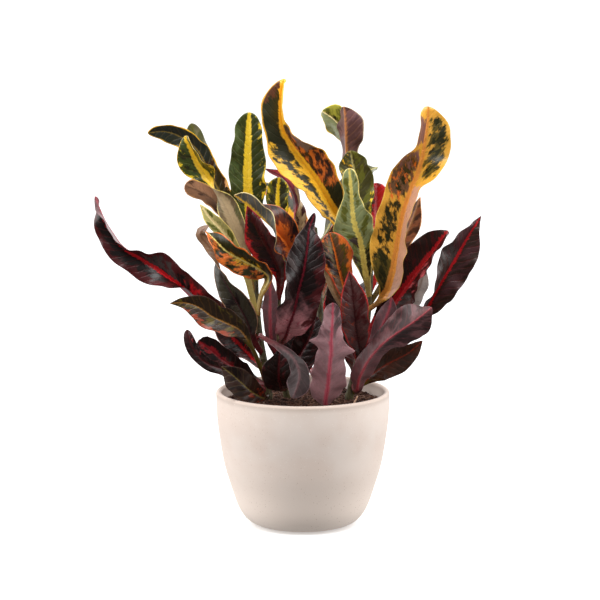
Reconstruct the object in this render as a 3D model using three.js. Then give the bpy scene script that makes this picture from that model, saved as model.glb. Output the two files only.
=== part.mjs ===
// A potted croton (Codiaeum variegatum): a plain clay pot, potting soil, four
// woody shoots and the long, twisting leaves that grow on them.
// Millimetres, +Z up. The origin is the middle of the pot's flat underside,
// and the plant's best side looks along -Y.
import * as THREE from "three";

// ---- Pot: a coupe bowl turned on a wheel ----------------------------------
const POT_HEIGHT = 109;
const POT_WALL = 4.6;
const POT_FLOOR = 7;
const FOOT_RADIUS = 33;
const LIP_SEGMENTS = 6;
const POT_FACETS = 56;
// Outer face of the pot as [radius, height], from above the foot to the rim.
const POT_OUTER = [
  [37.5, 0.6], [41.5, 2], [45.5, 4.7], [49.2, 9], [52.8, 15.5], [58.2, 31], [63.5, 49], [67.1, 70],
  [69.3, 88], [70, 106.7],
];
// Inner face, from the rim down to the floor.
const POT_INNER = [
  [65.4, 106.7], [64.7, 88], [62.5, 70], [58.9, 49], [53.6, 31], [44, 14], [36, POT_FLOOR],
];

// ---- Potting soil ----------------------------------------------------------
const SOIL_GAP = 0.35;
// The soil's upper face as [radius, height], from beside the wall to the middle.
const SOIL_TOP = [[64.5, 98], [62, 99], [40, 100.3], [0, 100.6]];

// ---- Shoots: [x, y, z] from the soil to the growing tip --------------------
const SHOOT_BASE_RADIUS = 3.6;
const SHOOT_TIP_RADIUS = 1.9;
const SHOOT_SIDES = 10;
const SHOOT_ROWS = 12;
const SHOOTS = {
  left: [[-28, 2, 100.9], [-31, 1, 130], [-35, 1, 155], [-37, 2, 180], [-38, 3, 207]],
  middle: [[-12, 8, 101.1], [-20, 8, 140], [-20, 8, 180], [-12, 9, 215], [-7, 10, 232]],
  right: [[37, 2, 100.9], [44, 2, 130], [50, 2, 155], [53, 3, 180], [54, 4, 205], [53, 6, 228]],
  rear: [[12, 34, 100.9], [14, 37, 135], [14, 40, 170], [12, 42, 205], [10, 42, 235]],
};

// ---- Leaves ----------------------------------------------------------------
const SEAT_GAP = 0.35;
const SEAT_HALVINGS = 30;
const PETIOLE_HALF_WIDTH = 1.7;
const PETIOLE_HALF_THICKNESS = 1.1;
const BLADE_HALF_THICKNESS = 0.45;
const BLADE_STARTS_AT = 6;
const STALK_ENDS_BY = 0.5;
const TIP_HALF_WIDTH = 0.6;
const LEAF_ROW_LENGTH = 11;
const LEAF_FEWEST_ROWS = 7;
const LEAF_TIP_ROWS = 4;
// The share of its length over which each kind of leaf end narrows.
const LEAF_TAPER = { round: 0.1, blunt: 0.05, point: 0.2 };
// Across the blade: [place from edge to edge, share of the full thickness].
const LEAF_SECTION = [
  [-1, 0], [-0.55, 0.8], [0, 1], [0.55, 0.8], [1, 0], [0.55, -0.8], [0, -1.2], [-0.55, -0.8],
];

// Each leaf: shoot, height of its node, colour, end, fold in degrees and its
// midrib as [x, y, z, half width, roll], with the fold there where it differs.
// At roll 0 the upper face looks along -Y, at 90 it looks to the right of the
// growing direction, at 180 along +Y.
// A leaf of "soil" starts at the first point of its midrib.
const LEAVES = {
  sweeping: ["left", 150, "maroon", "point", 50, [
    [-45, -4, 159, 4, 60], [-62, -12, 170, 9, 55, 60], [-76, -17, 177, 12, 55, 62],
    [-87, -20, 186, 13, 55, 62], [-95, -21, 194, 13, 50, 60], [-104, -22, 202, 14, 25, 42],
    [-115, -23, 210.5, 15.5, 5, 26], [-129, -24, 220.5, 15.5, -20, 38], [-142, -24, 229, 14, -38, 50],
    [-150, -24, 240, 13, -42, 45], [-156, -25, 250, 11, -50, 38], [-160, -26, 259.5, 8, -100, 26],
    [-163, -27, 269, 5, -150, 20],
  ]],
  amber: ["left", 116, "bronze", "point", 22, [
    [-38, -21, 142, 1.8, 20], [-42, -31, 152, 2.2, 20], [-50, -40, 165, 7, 15], [-60, -45, 171, 11, 12],
    [-71, -47, 176.5, 12, 10], [-82, -49, 184.5, 10.5, 10], [-92, -50, 188, 6.5, 0],
    [-104, -50, 187.5, 2, 0],
  ]],
  slate: ["left", 138, "maroon", "round", 22, [
    [-41, -16, 156, 3.5, 10], [-44, -22, 168, 9, 5], [-50, -28, 181, 11, 0], [-57, -31, 194, 10, -20],
    [-64, -30, 207, 8, -50], [-68, -28, 219, 5, -100], [-75, -27, 231, 4, -160],
    [-81, -29, 240, 4.5, -200], [-74, -31, 246.5, 4, -240],
  ]],
  ember_wave: ["left", 170, "gold", "round", 30, [
    [-33, -18, 189, 2.4, -40], [-27, -29, 205, 4.5, -30], [-36, -38, 214, 10.5, -18],
    [-49, -43, 221.5, 12, -15], [-60, -46, 228.5, 11, -5], [-69, -45, 237, 7.5, 35],
    [-76, -40, 243, 5, 90],
  ]],
  lime_twist: ["left", 196, "lime", "round", 25, [
    [-43, -7, 214, 3, 180, 15], [-52, -11, 237, 8.5, 180, 15], [-57, -12, 251, 9.5, 178, 20],
    [-63, -12, 263, 8, 160, 22], [-69, -12, 270.5, 5, 115, 14],
    [-73, -12, 277, 4.5, 60, 12], [-77, -12, 284, 9, 5, 20],
    [-81, -12, 291, 14, -26, 38], [-87, -12, 303, 14.5, -30, 42], [-93, -12, 315, 7.5, -32, 42],
  ]],
  arching: ["left", 184, "bronze", "round", 20, [
    [-50, 13, 214, 3, 0], [-57, 18, 246, 8, 10], [-66, 20, 266, 9, 10], [-75, 21, 282, 9.5, 5],
    [-84, 21, 300, 9, 0], [-97, 20, 311, 9, -10], [-111, 18, 316, 8, -15], [-124, 16, 315, 5.5, -20],
  ]],
  grey_tip: ["left", 174, "lime", "round", 15, [
    [-46, 30, 211, 4, 180], [-65, 35, 255, 7, 180], [-77, 37, 281, 8, 180], [-85, 37, 302, 8, 180],
    [-90, 35, 321, 7, 180],
  ]],
  blunt_bronze: ["left", 178, "bronze", "blunt", 15, [
    [-48, 2, 214, 4, 160], [-58, 2, 244, 6.5, 160], [-70, 0, 262, 7.5, 165], [-82, -1, 270, 8, 170],
    [-94, -1, 275, 7, 170],
  ]],
  pale_small: ["left", 166, "pale", "point", 20, [
    [-46, -10, 207, 3, 20], [-55, -15, 227, 5, 15], [-64, -19, 241, 6.5, 10], [-73, -21, 251, 6, 0],
    [-81, -22, 262, 2.5, 0],
  ]],
  upright_green: ["left", 194, "lime", "round", 15, [
    [-38, 13, 221, 3, 0], [-42, 11, 249, 9, 0], [-44, 10, 272, 15, 0], [-44, 10, 295, 14.5, 0],
    [-43.5, 10, 311, 12, 0], [-43, 10, 322, 11, 0], [-42.5, 10, 332, 10.5, 0],
  ]],
  ember_fold: ["middle", 196, "ember", "round", 30, [
    [-9, -8, 214, 4, 0, 25], [-12, -20, 229.5, 11, 15, 30], [-19, -29, 239.5, 16.5, 25, 35],
    [-27, -34, 248, 17, 58, 40], [-34.5, -37, 255.5, 14.5, 100, 32], [-42.5, -39, 263, 12, 118, 26],
    [-49, -39, 268, 10, 125, 25], [-53.5, -39, 271.5, 7, 125, 25],
  ]],
  crimson_inner: ["middle", 180, "maroon", "point", 25, [
    [-18, -4, 203, 5, -20], [-25, -10, 220, 13, -20], [-34, -14, 237, 13, -20], [-40, -15, 250, 7, -10],
    [-44, -15, 260, 2.5, 0],
  ]],
  plum: ["middle", 143, "maroon", "round", 25, [
    [-14, -26, 157, 5, 10, 20], [-11, -38, 168, 14, 15, 27], [-7, -46, 181, 18, 18, 28],
    [-4, -50, 196, 19, 22, 33], [0, -53, 212, 18.5, 15, 30], [2.5, -54, 226, 16, 5, 26],
    [4, -54, 238, 12, -3, 24], [5, -53, 247, 4.5, 0, 25], [9, -52, 259, 4, 30, 20],
  ]],
  ember_right: ["right", 168, "ember", "round", 22, [
    [41, -18, 181, 3, 10], [33, -29, 196, 7, 15], [28, -36, 213, 11, 15], [25, -39, 227, 14, 10],
    [21, -39, 242, 9, 0],
  ]],
  tan_narrow: ["right", 150, "bronze", "point", 20, [
    [38, -12, 171, 3, 150], [28, -24, 188, 4.5, 160], [22, -29, 204, 5, 165], [18, -31, 220, 2.5, 170],
  ]],
  rust_front: ["right", 118, "maroon", "point", 25, [
    [45, -24, 143, 4, 0], [42, -40, 164, 11, 0], [40, -50, 184, 12.5, 0], [38, -54, 202, 9, 0],
    [36, -56, 214, 2.5, 0],
  ]],
  front_mauve: ["soil", 0, "maroon", "round", 25, [
    [18, -28, 101.8, 2.5, 180], [18, -34, 107, 13, 180], [19.5, -44, 120, 15.5, 180],
    [21, -56, 138, 13.5, 180], [22, -65, 155, 12.5, 182], [22.5, -71, 171, 9.5, 184, 30],
    [23, -74, 183, 8, 186, 32], [23, -76, 192, 6, 188, 30],
  ]],
  right_mauve: ["right", 112, "maroon", "round", 30, [
    [43, -20, 113, 4, 180], [45, -29, 124, 8.5, 180, 25], [51, -35, 138, 9.5, 180, 28],
    [59, -40, 149.5, 9, 180, 30], [68.5, -44, 159, 13, 180, 32], [78, -46, 166, 16.5, 178, 32],
    [88, -46, 173, 17, 175, 30], [96, -44, 179, 12, 172, 30], [101, -42, 183, 4, 170, 30],
  ]],
  low_bronze: ["right", 106, "bronze", "point", 20, [
    [49, -8, 117, 3, 0], [60, -14, 128, 10, 0], [72, -18, 136, 12, 0], [84, -21, 143, 9, 0],
    [95, -22, 153, 2.5, 0],
  ]],
  red_midrib: ["right", 146, "maroon", "round", 32, [
    [59, 0, 165, 4, -20, 25], [67.5, -5, 174, 10, -20, 32], [75, -9, 184.5, 14, -20, 34],
    [82, -12, 195, 17, -22, 36], [88.5, -15, 204.5, 18, -28, 42], [95, -17, 213.5, 18.5, -37, 45],
    [102, -19, 222.5, 18, -39, 47], [109, -21, 233.5, 12.5, -38, 46], [114.5, -21, 241, 6, -38, 42],
  ]],
  far_right: ["right", 132, "maroon", "point", 20, [
    [62, 4, 146, 3, 0], [80, 0, 158, 3, 0], [94, -4, 170.5, 4.5, 15, 30], [99.5, -7, 179, 10, 30, 42],
    [104.5, -9, 189, 14.5, 32, 44], [110.5, -11, 200, 16, 28, 40], [116.5, -12, 210, 16.5, 22, 30],
    [122.5, -13, 220, 16, 6, 22], [127.5, -14, 230, 15, 15, 27], [134.5, -15, 242, 8.5, 18, 32],
    [141, -15, 252, 2, 15, 30],
  ]],
  grey_sliver: ["right", 153, "maroon", "point", 20, [
    [67, 17, 165, 4, 180], [86, 18, 177, 8, 180], [95, 17, 192, 7, 180], [98, 16, 208, 2.5, 180],
  ]],
  gold_right: ["right", 174, "gold", "round", 40, [
    [61, -15, 184, 2.5, -15, 30], [67, -23, 193.5, 7, -22, 32], [70.5, -28, 206, 15, -25, 38],
    [73, -30, 219, 21.5, -30, 42], [75.5, -31, 234, 22.5, -34, 46], [78, -32, 249, 22, -35, 46],
    [81, -33, 262, 20.5, -34, 46], [85, -33, 274, 21, -34, 46], [90, -32, 287, 22, -20, 38],
    [93, -30, 301, 21, 20, 40], [95, -29, 314.5, 21.5, 32, 42], [97, -27, 327.5, 18, 26, 40],
    [98, -25, 339.5, 12, 15, 32],
  ]],
  dusky_back: ["right", 178, "bronze", "point", 20, [
    [68, 6, 202, 3, 150], [78, 13, 222, 6, 150], [87, 13, 243, 8, 150], [94, 11, 264, 2.5, 150],
  ]],
  red_peek: ["right", 188, "crimson", "blunt", 20, [
    [60, 10, 205, 2.5, 0], [61, 19, 227, 5, 0], [59, 25, 249, 9, 0], [59.5, 25, 274, 8, 0],
  ]],
  lime_back: ["right", 200, "lime", "round", 20, [
    [48, 7, 221, 3, 5], [46, 14, 240, 7, 10], [44, 18, 260, 13, 10], [43, 20, 277, 14, 10],
    [40, 20, 290, 12, 5], [38, 18, 300.5, 9, 0],
  ]],
  pale_center: ["right", 184, "pale", "round", 20, [
    [51, -10, 200, 3, 0], [48, -17, 217, 8, 0], [45.5, -21, 231, 12, 0], [42, -25, 243, 13.5, 0],
    [39.5, -27, 253, 15, 0], [38.5, -28, 262, 10.5, 0], [38, -30, 272, 6.5, 0],
    [37, -31, 283, 7.2, 0], [36, -31, 291.5, 7.5, 0],
  ]],
  gold_left: ["right", 210, "gold", "round", 35, [
    [45, -5, 226, 2.5, 10, 28], [36, -11, 240, 8, 12, 28], [25, -14, 254, 9, 15, 30],
    [19.5, -19, 264, 15, 15, 34], [14.5, -22, 273, 17.5, 17, 35], [9, -23, 282, 20, 17, 36],
    [3, -24, 291, 22, 10, 33], [-3, -24, 300, 21.5, -6, 35], [-9, -24, 310, 20.5, -25, 38],
    [-15, -24, 322.5, 16, -30, 45], [-16.5, -24, 337, 17, -38, 48], [-16, -24, 349.5, 13.5, -40, 48],
    [-14.5, -24, 361, 8, -42, 45],
  ]],
  curl_mauve: ["right", 216, "lime", "round", 25, [
    [53, 23, 232, 2.5, 180], [49, 30, 247, 3, 180], [41.5, 34, 264, 4, 172], [37, 34, 283, 6, 155],
    [35, 31, 300, 10, 143, 30], [34.5, 27, 312, 14.5, 141, 30], [34, 25, 323.5, 15, 141, 30],
    [33, 24, 335.5, 9, 145, 30],
  ]],
  curl_green: ["right", 208, "lime", "round", 30, [
    [57, 24, 220, 2.5, 0, 15], [55, 37, 239, 3.5, 0, 15], [48.5, 40, 263, 4, -10, 15],
    [42.5, 46, 287, 4.5, 0, 20], [37.5, 49, 304, 6.5, 5, 25], [31, 47, 316.5, 11.5, 15, 32],
    [23, 46, 325, 14.5, 15, 32], [15.5, 45, 330, 11, 15, 32],
  ]],
  small_green: ["middle", 208, "lime", "round", 18, [
    [-15, 16, 237, 4, 0], [-20, 18, 256, 9, 0], [-20, 20, 269, 9.5, 0], [-19, 20, 279, 7, 0],
  ]],
  pink_tip: ["middle", 218, "crimson", "point", 20, [
    [-5, 21, 249, 3, 140], [-8, 25, 267, 5, 140], [-16, 27, 278, 5, 140], [-30, 27, 285, 3, 140],
  ]],
  tan_twist: ["middle", 226, "bronze", "point", 22, [
    [-3, -1, 238, 4, 0], [-2, -5, 250, 5, 0], [-3, -7, 262, 4, 80], [-6, -7, 275, 3, 150],
  ]],
  claw: ["left", 108, "maroon", "round", 18, [
    [-43, -20, 118, 3, 20], [-55, -32, 127, 4.5, 15], [-65, -38, 133.5, 5, 10], [-73, -42, 137, 5, 5],
    [-79.5, -44, 142, 5.2, -5], [-85, -45, 149, 5.3, -15], [-88.5, -46, 156.5, 5.2, -20],
    [-91, -46, 166, 5, -25],
  ]],
  red_blaze: ["left", 113, "maroon", "blunt", 20, [
    [-40, -8, 119, 4, 30], [-49, -13, 125.5, 8.5, 15], [-58, -19, 133, 10, 5], [-67, -23, 140.5, 10.5, 0],
    [-75, -25, 147.5, 10.5, 0], [-83, -26, 154, 8.5, 0],
  ]],
  crescent: ["left", 126, "maroon", "point", 25, [
    [-40, -4, 135, 5, 25], [-48, -6, 144, 10, 20], [-56, -13, 154, 12.5, 12], [-64, -16, 160.5, 9, 5],
    [-72, -18, 167, 2.5, 0],
  ]],
  olive_low: ["left", 104, "bronze", "point", 20, [
    [-31, -24, 107, 3, 10], [-40, -38, 114.5, 9, 5], [-49, -45, 124, 11.5, 0], [-57, -47, 131.5, 9.5, 0],
    [-64, -48, 137, 2.5, 0],
  ]],
  hanging_mauve: ["left", 150, "maroon", "round", 20, [
    [-34, -22, 157, 2.5, 90], [-27, -38, 156, 3, 110], [-17, -49, 152, 3.5, 140], [-8, -59, 146, 5, 165],
    [-3, -64, 136, 8, 180], [-4, -68, 126, 9.5, 190], [-8, -70, 116, 6, 200],
  ]],
  low_dark: ["middle", 108, "maroon", "point", 20, [
    [-17, -15, 114, 5, 0], [-19, -28, 124, 13, 0], [-19, -33, 136, 13, 0], [-18, -36, 149, 3, 0],
  ]],
  black_mid: ["middle", 118, "maroon", "round", 20, [
    [-5, -7, 135, 8, 0], [3, -14, 149, 12, 0], [8, -18, 163, 10, 0], [10, -19, 173, 4, 0],
  ]],
  dark_right: ["right", 112, "maroon", "point", 20, [
    [43, 12, 124, 5, 0], [38, 17, 146, 12, 0], [33, 20, 168, 14, 0], [30, 21, 188, 12, 0],
    [28, 21, 208, 3, 0],
  ]],
  mauve_right: ["right", 138, "maroon", "point", 20, [
    [56, -12, 151, 4, 180], [63, -22, 165, 8, 180], [68, -26, 178, 7, 180], [70, -28, 189, 2.5, 180],
  ]],
  deep_shade: ["middle", 104, "maroon", "point", 15, [
    [-8, 17, 112, 5, 0], [-6, 22, 126, 15, 0], [-3, 24, 144, 18, 0], [-1, 25, 160, 14, 0],
    [0, 25, 173, 3, 0],
  ]],
  mauve_left: ["middle", 133, "maroon", "point", 20, [
    [-25, -4, 149, 4, 180], [-26, -14, 167, 6, 180], [-26, -17, 186, 6, 180], [-26, -15, 202, 2.5, 180],
  ]],
};

// The rear half of the plant, which grows up its own shoot.
const REAR_LOWEST_NODE = 108;
const REAR_NODE_STEP = 12.5;
// How far each rear leaf heads to the side of straight back, in degrees.
const REAR_SPREADS = [44, 14, -56, -12, 16, -30, 38, -50, 60, -57];
const REAR_REACH = [88, 58];
const REAR_CLIMB = [58, 60];
const REAR_HALF_WIDTH = 12;
const REAR_START = [13, 40];
const REAR_FOLD = 22;
const REAR_ROLL = 25;
// A rear leaf's midrib as shares of its reach, its climb and its half width.
const REAR_ARCH = [
  [0.12, 0.16, 0.3], [0.35, 0.5, 0.9], [0.62, 0.8, 1], [0.85, 0.97, 0.7], [1, 1.02, 0.25],
];
const REAR_KINDS = ["maroon", "maroon", "maroon", "bronze", "ember", "gold", "lime"];

// ---- Finishes ---------------------------------------------------------------
const ROUGHNESS = { clay: 0.75, soil: 1, bark: 0.8, leaf: 0.35 };
const COLOURS = {
  clay: 0xe9dcd3,
  soil: 0x5b4136,
  bark: 0x74714a,
  maroon: 0x4a2328,
  bronze: 0x6a4a2a,
  lime: 0x5f7a30,
  gold: 0xc79b38,
  ember: 0xb5652f,
  pale: 0xa9b27a,
  crimson: 0xa8283a,
};

function solidMesh(name, geometry, colour, roughness) {
  const material = new THREE.MeshStandardMaterial({ color: colour, roughness, metalness: 0 });
  const mesh = new THREE.Mesh(geometry, material);
  mesh.name = name;
  return mesh;
}

// Skins a closed body over rings of equal length; each end closes on its centre.
// The facets of a ring's two halves lie back to back, so that a thin twisted
// blade keeps its thickness.
function skin(rings) {
  const count = rings[0].length;
  const points = rings.flat();
  const faces = [];
  for (let row = 0; row < rings.length - 1; row += 1) {
    for (let i = 0; i < count; i += 1) {
      const a = row * count + i;
      const b = row * count + ((i + 1) % count);
      if (i < count / 2) {
        faces.push(a, b, a + count, b, b + count, a + count);
      } else {
        faces.push(a, b, b + count, a, b + count, a + count);
      }
    }
  }
  const first = points.length;
  points.push(centre(rings[0]), centre(rings[rings.length - 1]));
  const lastRow = (rings.length - 1) * count;
  for (let i = 0; i < count; i += 1) {
    const next = (i + 1) % count;
    faces.push(first, next, i, first + 1, lastRow + i, lastRow + next);
  }
  const geometry = new THREE.BufferGeometry().setFromPoints(points);
  geometry.setIndex(faces);
  geometry.computeVertexNormals();
  return geometry;
}

function centre(ring) {
  const sum = ring.reduce((total, point) => total.add(point), new THREE.Vector3());
  return sum.divideScalar(ring.length);
}

// Reads a row of values at a place between them, easing from one to the next.
function ease(values, place) {
  const i = Math.min(Math.floor(place), values.length - 2);
  const t = place - i;
  const slope = (k) => {
    const before = values[Math.max(k - 1, 0)];
    const after = values[Math.min(k + 1, values.length - 1)];
    return (after - before) / (k === 0 || k === values.length - 1 ? 1 : 2);
  };
  const rise = values[i + 1] - values[i];
  const curve = (slope(i) + slope(i + 1) - 2 * rise) * t + 3 * rise - 2 * slope(i) - slope(i + 1);
  return values[i] + (slope(i) + curve * t) * t;
}

function revolve(outline) {
  const points = outline.map(([radius, height]) => new THREE.Vector2(radius, height));
  return new THREE.LatheGeometry(points, POT_FACETS).rotateX(Math.PI / 2);
}

function makePot() {
  const lip = [];
  const lipRadius = POT_WALL / 2;
  for (let i = 1; i < LIP_SEGMENTS; i += 1) {
    const angle = (Math.PI * i) / LIP_SEGMENTS;
    const radius = POT_OUTER[POT_OUTER.length - 1][0] - lipRadius + lipRadius * Math.cos(angle);
    lip.push([radius, POT_HEIGHT - lipRadius + lipRadius * Math.sin(angle)]);
  }
  const outline = [[0, 0], [FOOT_RADIUS, 0], ...POT_OUTER, ...lip, ...POT_INNER, [0, POT_FLOOR]];
  return solidMesh("pot", revolve(outline), COLOURS.clay, ROUGHNESS.clay);
}

function makeSoil() {
  const wall = POT_INNER.filter(([, height]) => height < SOIL_TOP[0][1]).reverse();
  const side = wall.map(([radius, height]) => [radius - SOIL_GAP, height + SOIL_GAP]);
  const outline = [[0, POT_FLOOR + SOIL_GAP], ...side, ...SOIL_TOP];
  return solidMesh("potting_soil", revolve(outline), COLOURS.soil, ROUGHNESS.soil);
}

function shootCurve(name) {
  return new THREE.CatmullRomCurve3(SHOOTS[name].map((point) => new THREE.Vector3(...point)));
}

function shootRadius(share) {
  return THREE.MathUtils.lerp(SHOOT_BASE_RADIUS, SHOOT_TIP_RADIUS, share);
}

function makeShoot(name) {
  const curve = shootCurve(name);
  const rings = [];
  for (let row = 0; row <= SHOOT_ROWS; row += 1) {
    const share = row / SHOOT_ROWS;
    const middle = curve.getPointAt(share);
    const ring = [];
    for (let i = 0; i < SHOOT_SIDES; i += 1) {
      const angle = (2 * Math.PI * i) / SHOOT_SIDES;
      const spoke = new THREE.Vector3(Math.cos(angle), Math.sin(angle), 0);
      ring.push(spoke.multiplyScalar(shootRadius(share)).add(middle));
    }
    rings.push(ring);
  }
  return solidMesh(`shoot_${name}`, skin(rings), COLOURS.bark, ROUGHNESS.bark);
}

// The place beside a shoot, at the given height, where a stalk heading for
// the target begins.
function seat(shoot, height, target) {
  const curve = shootCurve(shoot);
  let low = 0;
  let high = 1;
  for (let halving = 0; halving < SEAT_HALVINGS; halving += 1) {
    const share = (low + high) / 2;
    if (curve.getPointAt(share).z < height) {
      low = share;
    } else {
      high = share;
    }
  }
  const middle = curve.getPointAt(low);
  const away = target.clone().sub(middle).normalize();
  const clearance = SEAT_GAP + PETIOLE_HALF_WIDTH * Math.abs(away.z);
  return middle.addScaledVector(away.setZ(0).normalize(), shootRadius(low) + clearance);
}

// The shares of its length at which a leaf's sections stand, closer together
// where the blade rounds off to its tip.
function leafRows(length, taper) {
  const rows = Math.max(Math.round(length / LEAF_ROW_LENGTH), LEAF_FEWEST_ROWS);
  const shares = [];
  for (let row = 0; row < rows; row += 1) {
    shares.push(((1 - taper) * row) / rows);
  }
  for (let row = 0; row <= LEAF_TIP_ROWS; row += 1) {
    shares.push(1 - taper * (1 - Math.sin((Math.PI * row) / (2 * LEAF_TIP_ROWS))));
  }
  return shares;
}

function makeLeaf(name, shoot, height, kind, end, fold, route, reference) {
  const points = route.map(([x, y, z]) => new THREE.Vector3(x, y, z));
  const widths = route.map((point) => point[3]);
  const rolls = route.map((point) => point[4]);
  const folds = route.map((point) => point[5] ?? fold);
  if (shoot !== "soil") {
    points.unshift(seat(shoot, height, points[0]));
    widths.unshift(PETIOLE_HALF_WIDTH);
    rolls.unshift(rolls[0]);
    folds.unshift(folds[0]);
  }
  const curve = new THREE.CatmullRomCurve3(points);
  const taper = LEAF_TAPER[end];
  const rings = [];
  for (const share of leafRows(curve.getLength(), taper)) {
    const place = curve.getUtoTmapping(share) * (points.length - 1);
    const middle = curve.getPointAt(share);
    const along = curve.getTangentAt(share);
    const across = new THREE.Vector3().crossVectors(along, reference).normalize();
    const roll = THREE.MathUtils.degToRad(ease(rolls, place));
    across.applyAxisAngle(along, roll);
    const up = new THREE.Vector3().crossVectors(across, along);
    const left = Math.max(1 - share, 0) / taper;
    const narrowing = left < 1 ? Math.sqrt(1 - (1 - left) ** 2) : 1;
    const width = Math.max(ease(widths, place) * narrowing, TIP_HALF_WIDTH);
    const flat = THREE.MathUtils.smoothstep(width, PETIOLE_HALF_WIDTH, BLADE_STARTS_AT);
    const isStalk = share < STALK_ENDS_BY ? 1 - flat : 0;
    const thick = THREE.MathUtils.lerp(BLADE_HALF_THICKNESS, PETIOLE_HALF_THICKNESS, isStalk);
    const bend = THREE.MathUtils.degToRad(ease(folds, place)) * flat;
    rings.push(LEAF_SECTION.map(([side, fullness]) => {
      const point = middle.clone().addScaledVector(across, side * width * Math.cos(bend));
      const lift = Math.abs(side) * width * Math.sin(bend) + fullness * thick;
      return point.addScaledVector(up, lift);
    }));
  }
  return solidMesh(`leaf_${name}`, skin(rings), COLOURS[kind], ROUGHNESS.leaf);
}

function makeRearLeaf(index) {
  const share = index / (REAR_SPREADS.length - 1);
  const height = REAR_LOWEST_NODE + REAR_NODE_STEP * index;
  const heading = THREE.MathUtils.degToRad(90 + REAR_SPREADS[index]);
  const outward = new THREE.Vector3(Math.cos(heading), Math.sin(heading), 0);
  const reach = THREE.MathUtils.lerp(REAR_REACH[0], REAR_REACH[1], share);
  const climb = THREE.MathUtils.lerp(REAR_CLIMB[0], REAR_CLIMB[1], share);
  const route = REAR_ARCH.map(([out, up, width]) => {
    const place = new THREE.Vector3(...REAR_START, height + up * climb);
    place.addScaledVector(outward, out * reach);
    const roll = REAR_ROLL * Math.sin(2 * index + 3 * out);
    return [place.x, place.y, place.z, width * REAR_HALF_WIDTH, roll];
  });
  const kind = REAR_KINDS[Math.floor(share * (REAR_KINDS.length - 1))];
  const reference = new THREE.Vector3(0, 0, 1).sub(outward);
  return makeLeaf(`rear_${index + 1}`, "rear", height, kind, "point", REAR_FOLD, route, reference);
}

const croton = new THREE.Group();
croton.name = "potted_croton";
croton.add(makePot(), makeSoil());
for (const name of Object.keys(SHOOTS)) {
  croton.add(makeShoot(name));
}
const towardsFront = new THREE.Vector3(0, -1, 0);
for (const [name, [shoot, height, kind, end, fold, route]] of Object.entries(LEAVES)) {
  croton.add(makeLeaf(name, shoot, height, kind, end, fold, route, towardsFront));
}
for (let index = 0; index < REAR_SPREADS.length; index += 1) {
  croton.add(makeRearLeaf(index));
}

export default croton;
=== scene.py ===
import math
import random

import bpy
import numpy as np
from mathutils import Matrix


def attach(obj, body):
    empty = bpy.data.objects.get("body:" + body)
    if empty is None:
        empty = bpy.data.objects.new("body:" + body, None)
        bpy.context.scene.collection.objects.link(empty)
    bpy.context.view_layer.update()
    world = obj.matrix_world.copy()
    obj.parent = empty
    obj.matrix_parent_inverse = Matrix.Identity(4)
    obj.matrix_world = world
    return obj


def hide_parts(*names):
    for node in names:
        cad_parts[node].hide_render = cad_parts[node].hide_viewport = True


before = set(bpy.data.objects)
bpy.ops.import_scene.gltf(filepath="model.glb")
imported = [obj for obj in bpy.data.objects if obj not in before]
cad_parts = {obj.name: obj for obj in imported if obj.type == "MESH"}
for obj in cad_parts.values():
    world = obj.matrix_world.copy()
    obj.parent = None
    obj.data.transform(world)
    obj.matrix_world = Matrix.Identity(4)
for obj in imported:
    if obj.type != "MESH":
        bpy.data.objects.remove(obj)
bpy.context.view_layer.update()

MM = 0.001

# ---- Pot and soil, in millimetres, as in the CAD part ------------------------
POT_HEIGHT = 109
POT_WALL = 4.6
POT_FLOOR = 7
FOOT_RADIUS = 33
POT_OUTER = [
    [37.5, 0.6], [41.5, 2], [45.5, 4.7], [49.2, 9], [52.8, 15.5], [58.2, 31], [63.5, 49], [67.1, 70],
    [69.3, 88], [70, 106.7],
]
POT_INNER = [
    [65.4, 106.7], [64.7, 88], [62.5, 70], [58.9, 49], [53.6, 31], [44, 14], [36, POT_FLOOR],
]
SOIL_TOP = [[0, 100.6], [40, 100.3], [62, 99], [64.5, 98]]

# ---- Shoots and leaves, in millimetres, as in the CAD part -------------------
SHOOT_BASE_RADIUS = 3.6
SHOOT_TIP_RADIUS = 1.9
SHOOTS = {
    "left": [[-28, 2, 100.9], [-31, 1, 130], [-35, 1, 155], [-37, 2, 180], [-38, 3, 207]],
    "middle": [[-12, 8, 101.1], [-20, 8, 140], [-20, 8, 180], [-12, 9, 215], [-7, 10, 232]],
    "right": [[37, 2, 100.9], [44, 2, 130], [50, 2, 155], [53, 3, 180], [54, 4, 205], [53, 6, 228]],
    "rear": [[12, 34, 100.9], [14, 37, 135], [14, 40, 170], [12, 42, 205], [10, 42, 235]],
}
PETIOLE_HALF_WIDTH = 1.7
PETIOLE_HALF_THICKNESS = 1.1
BLADE_STARTS_AT = 6
LEAF_TAPER = {"round": 0.1, "blunt": 0.05, "point": 0.2}

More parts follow.
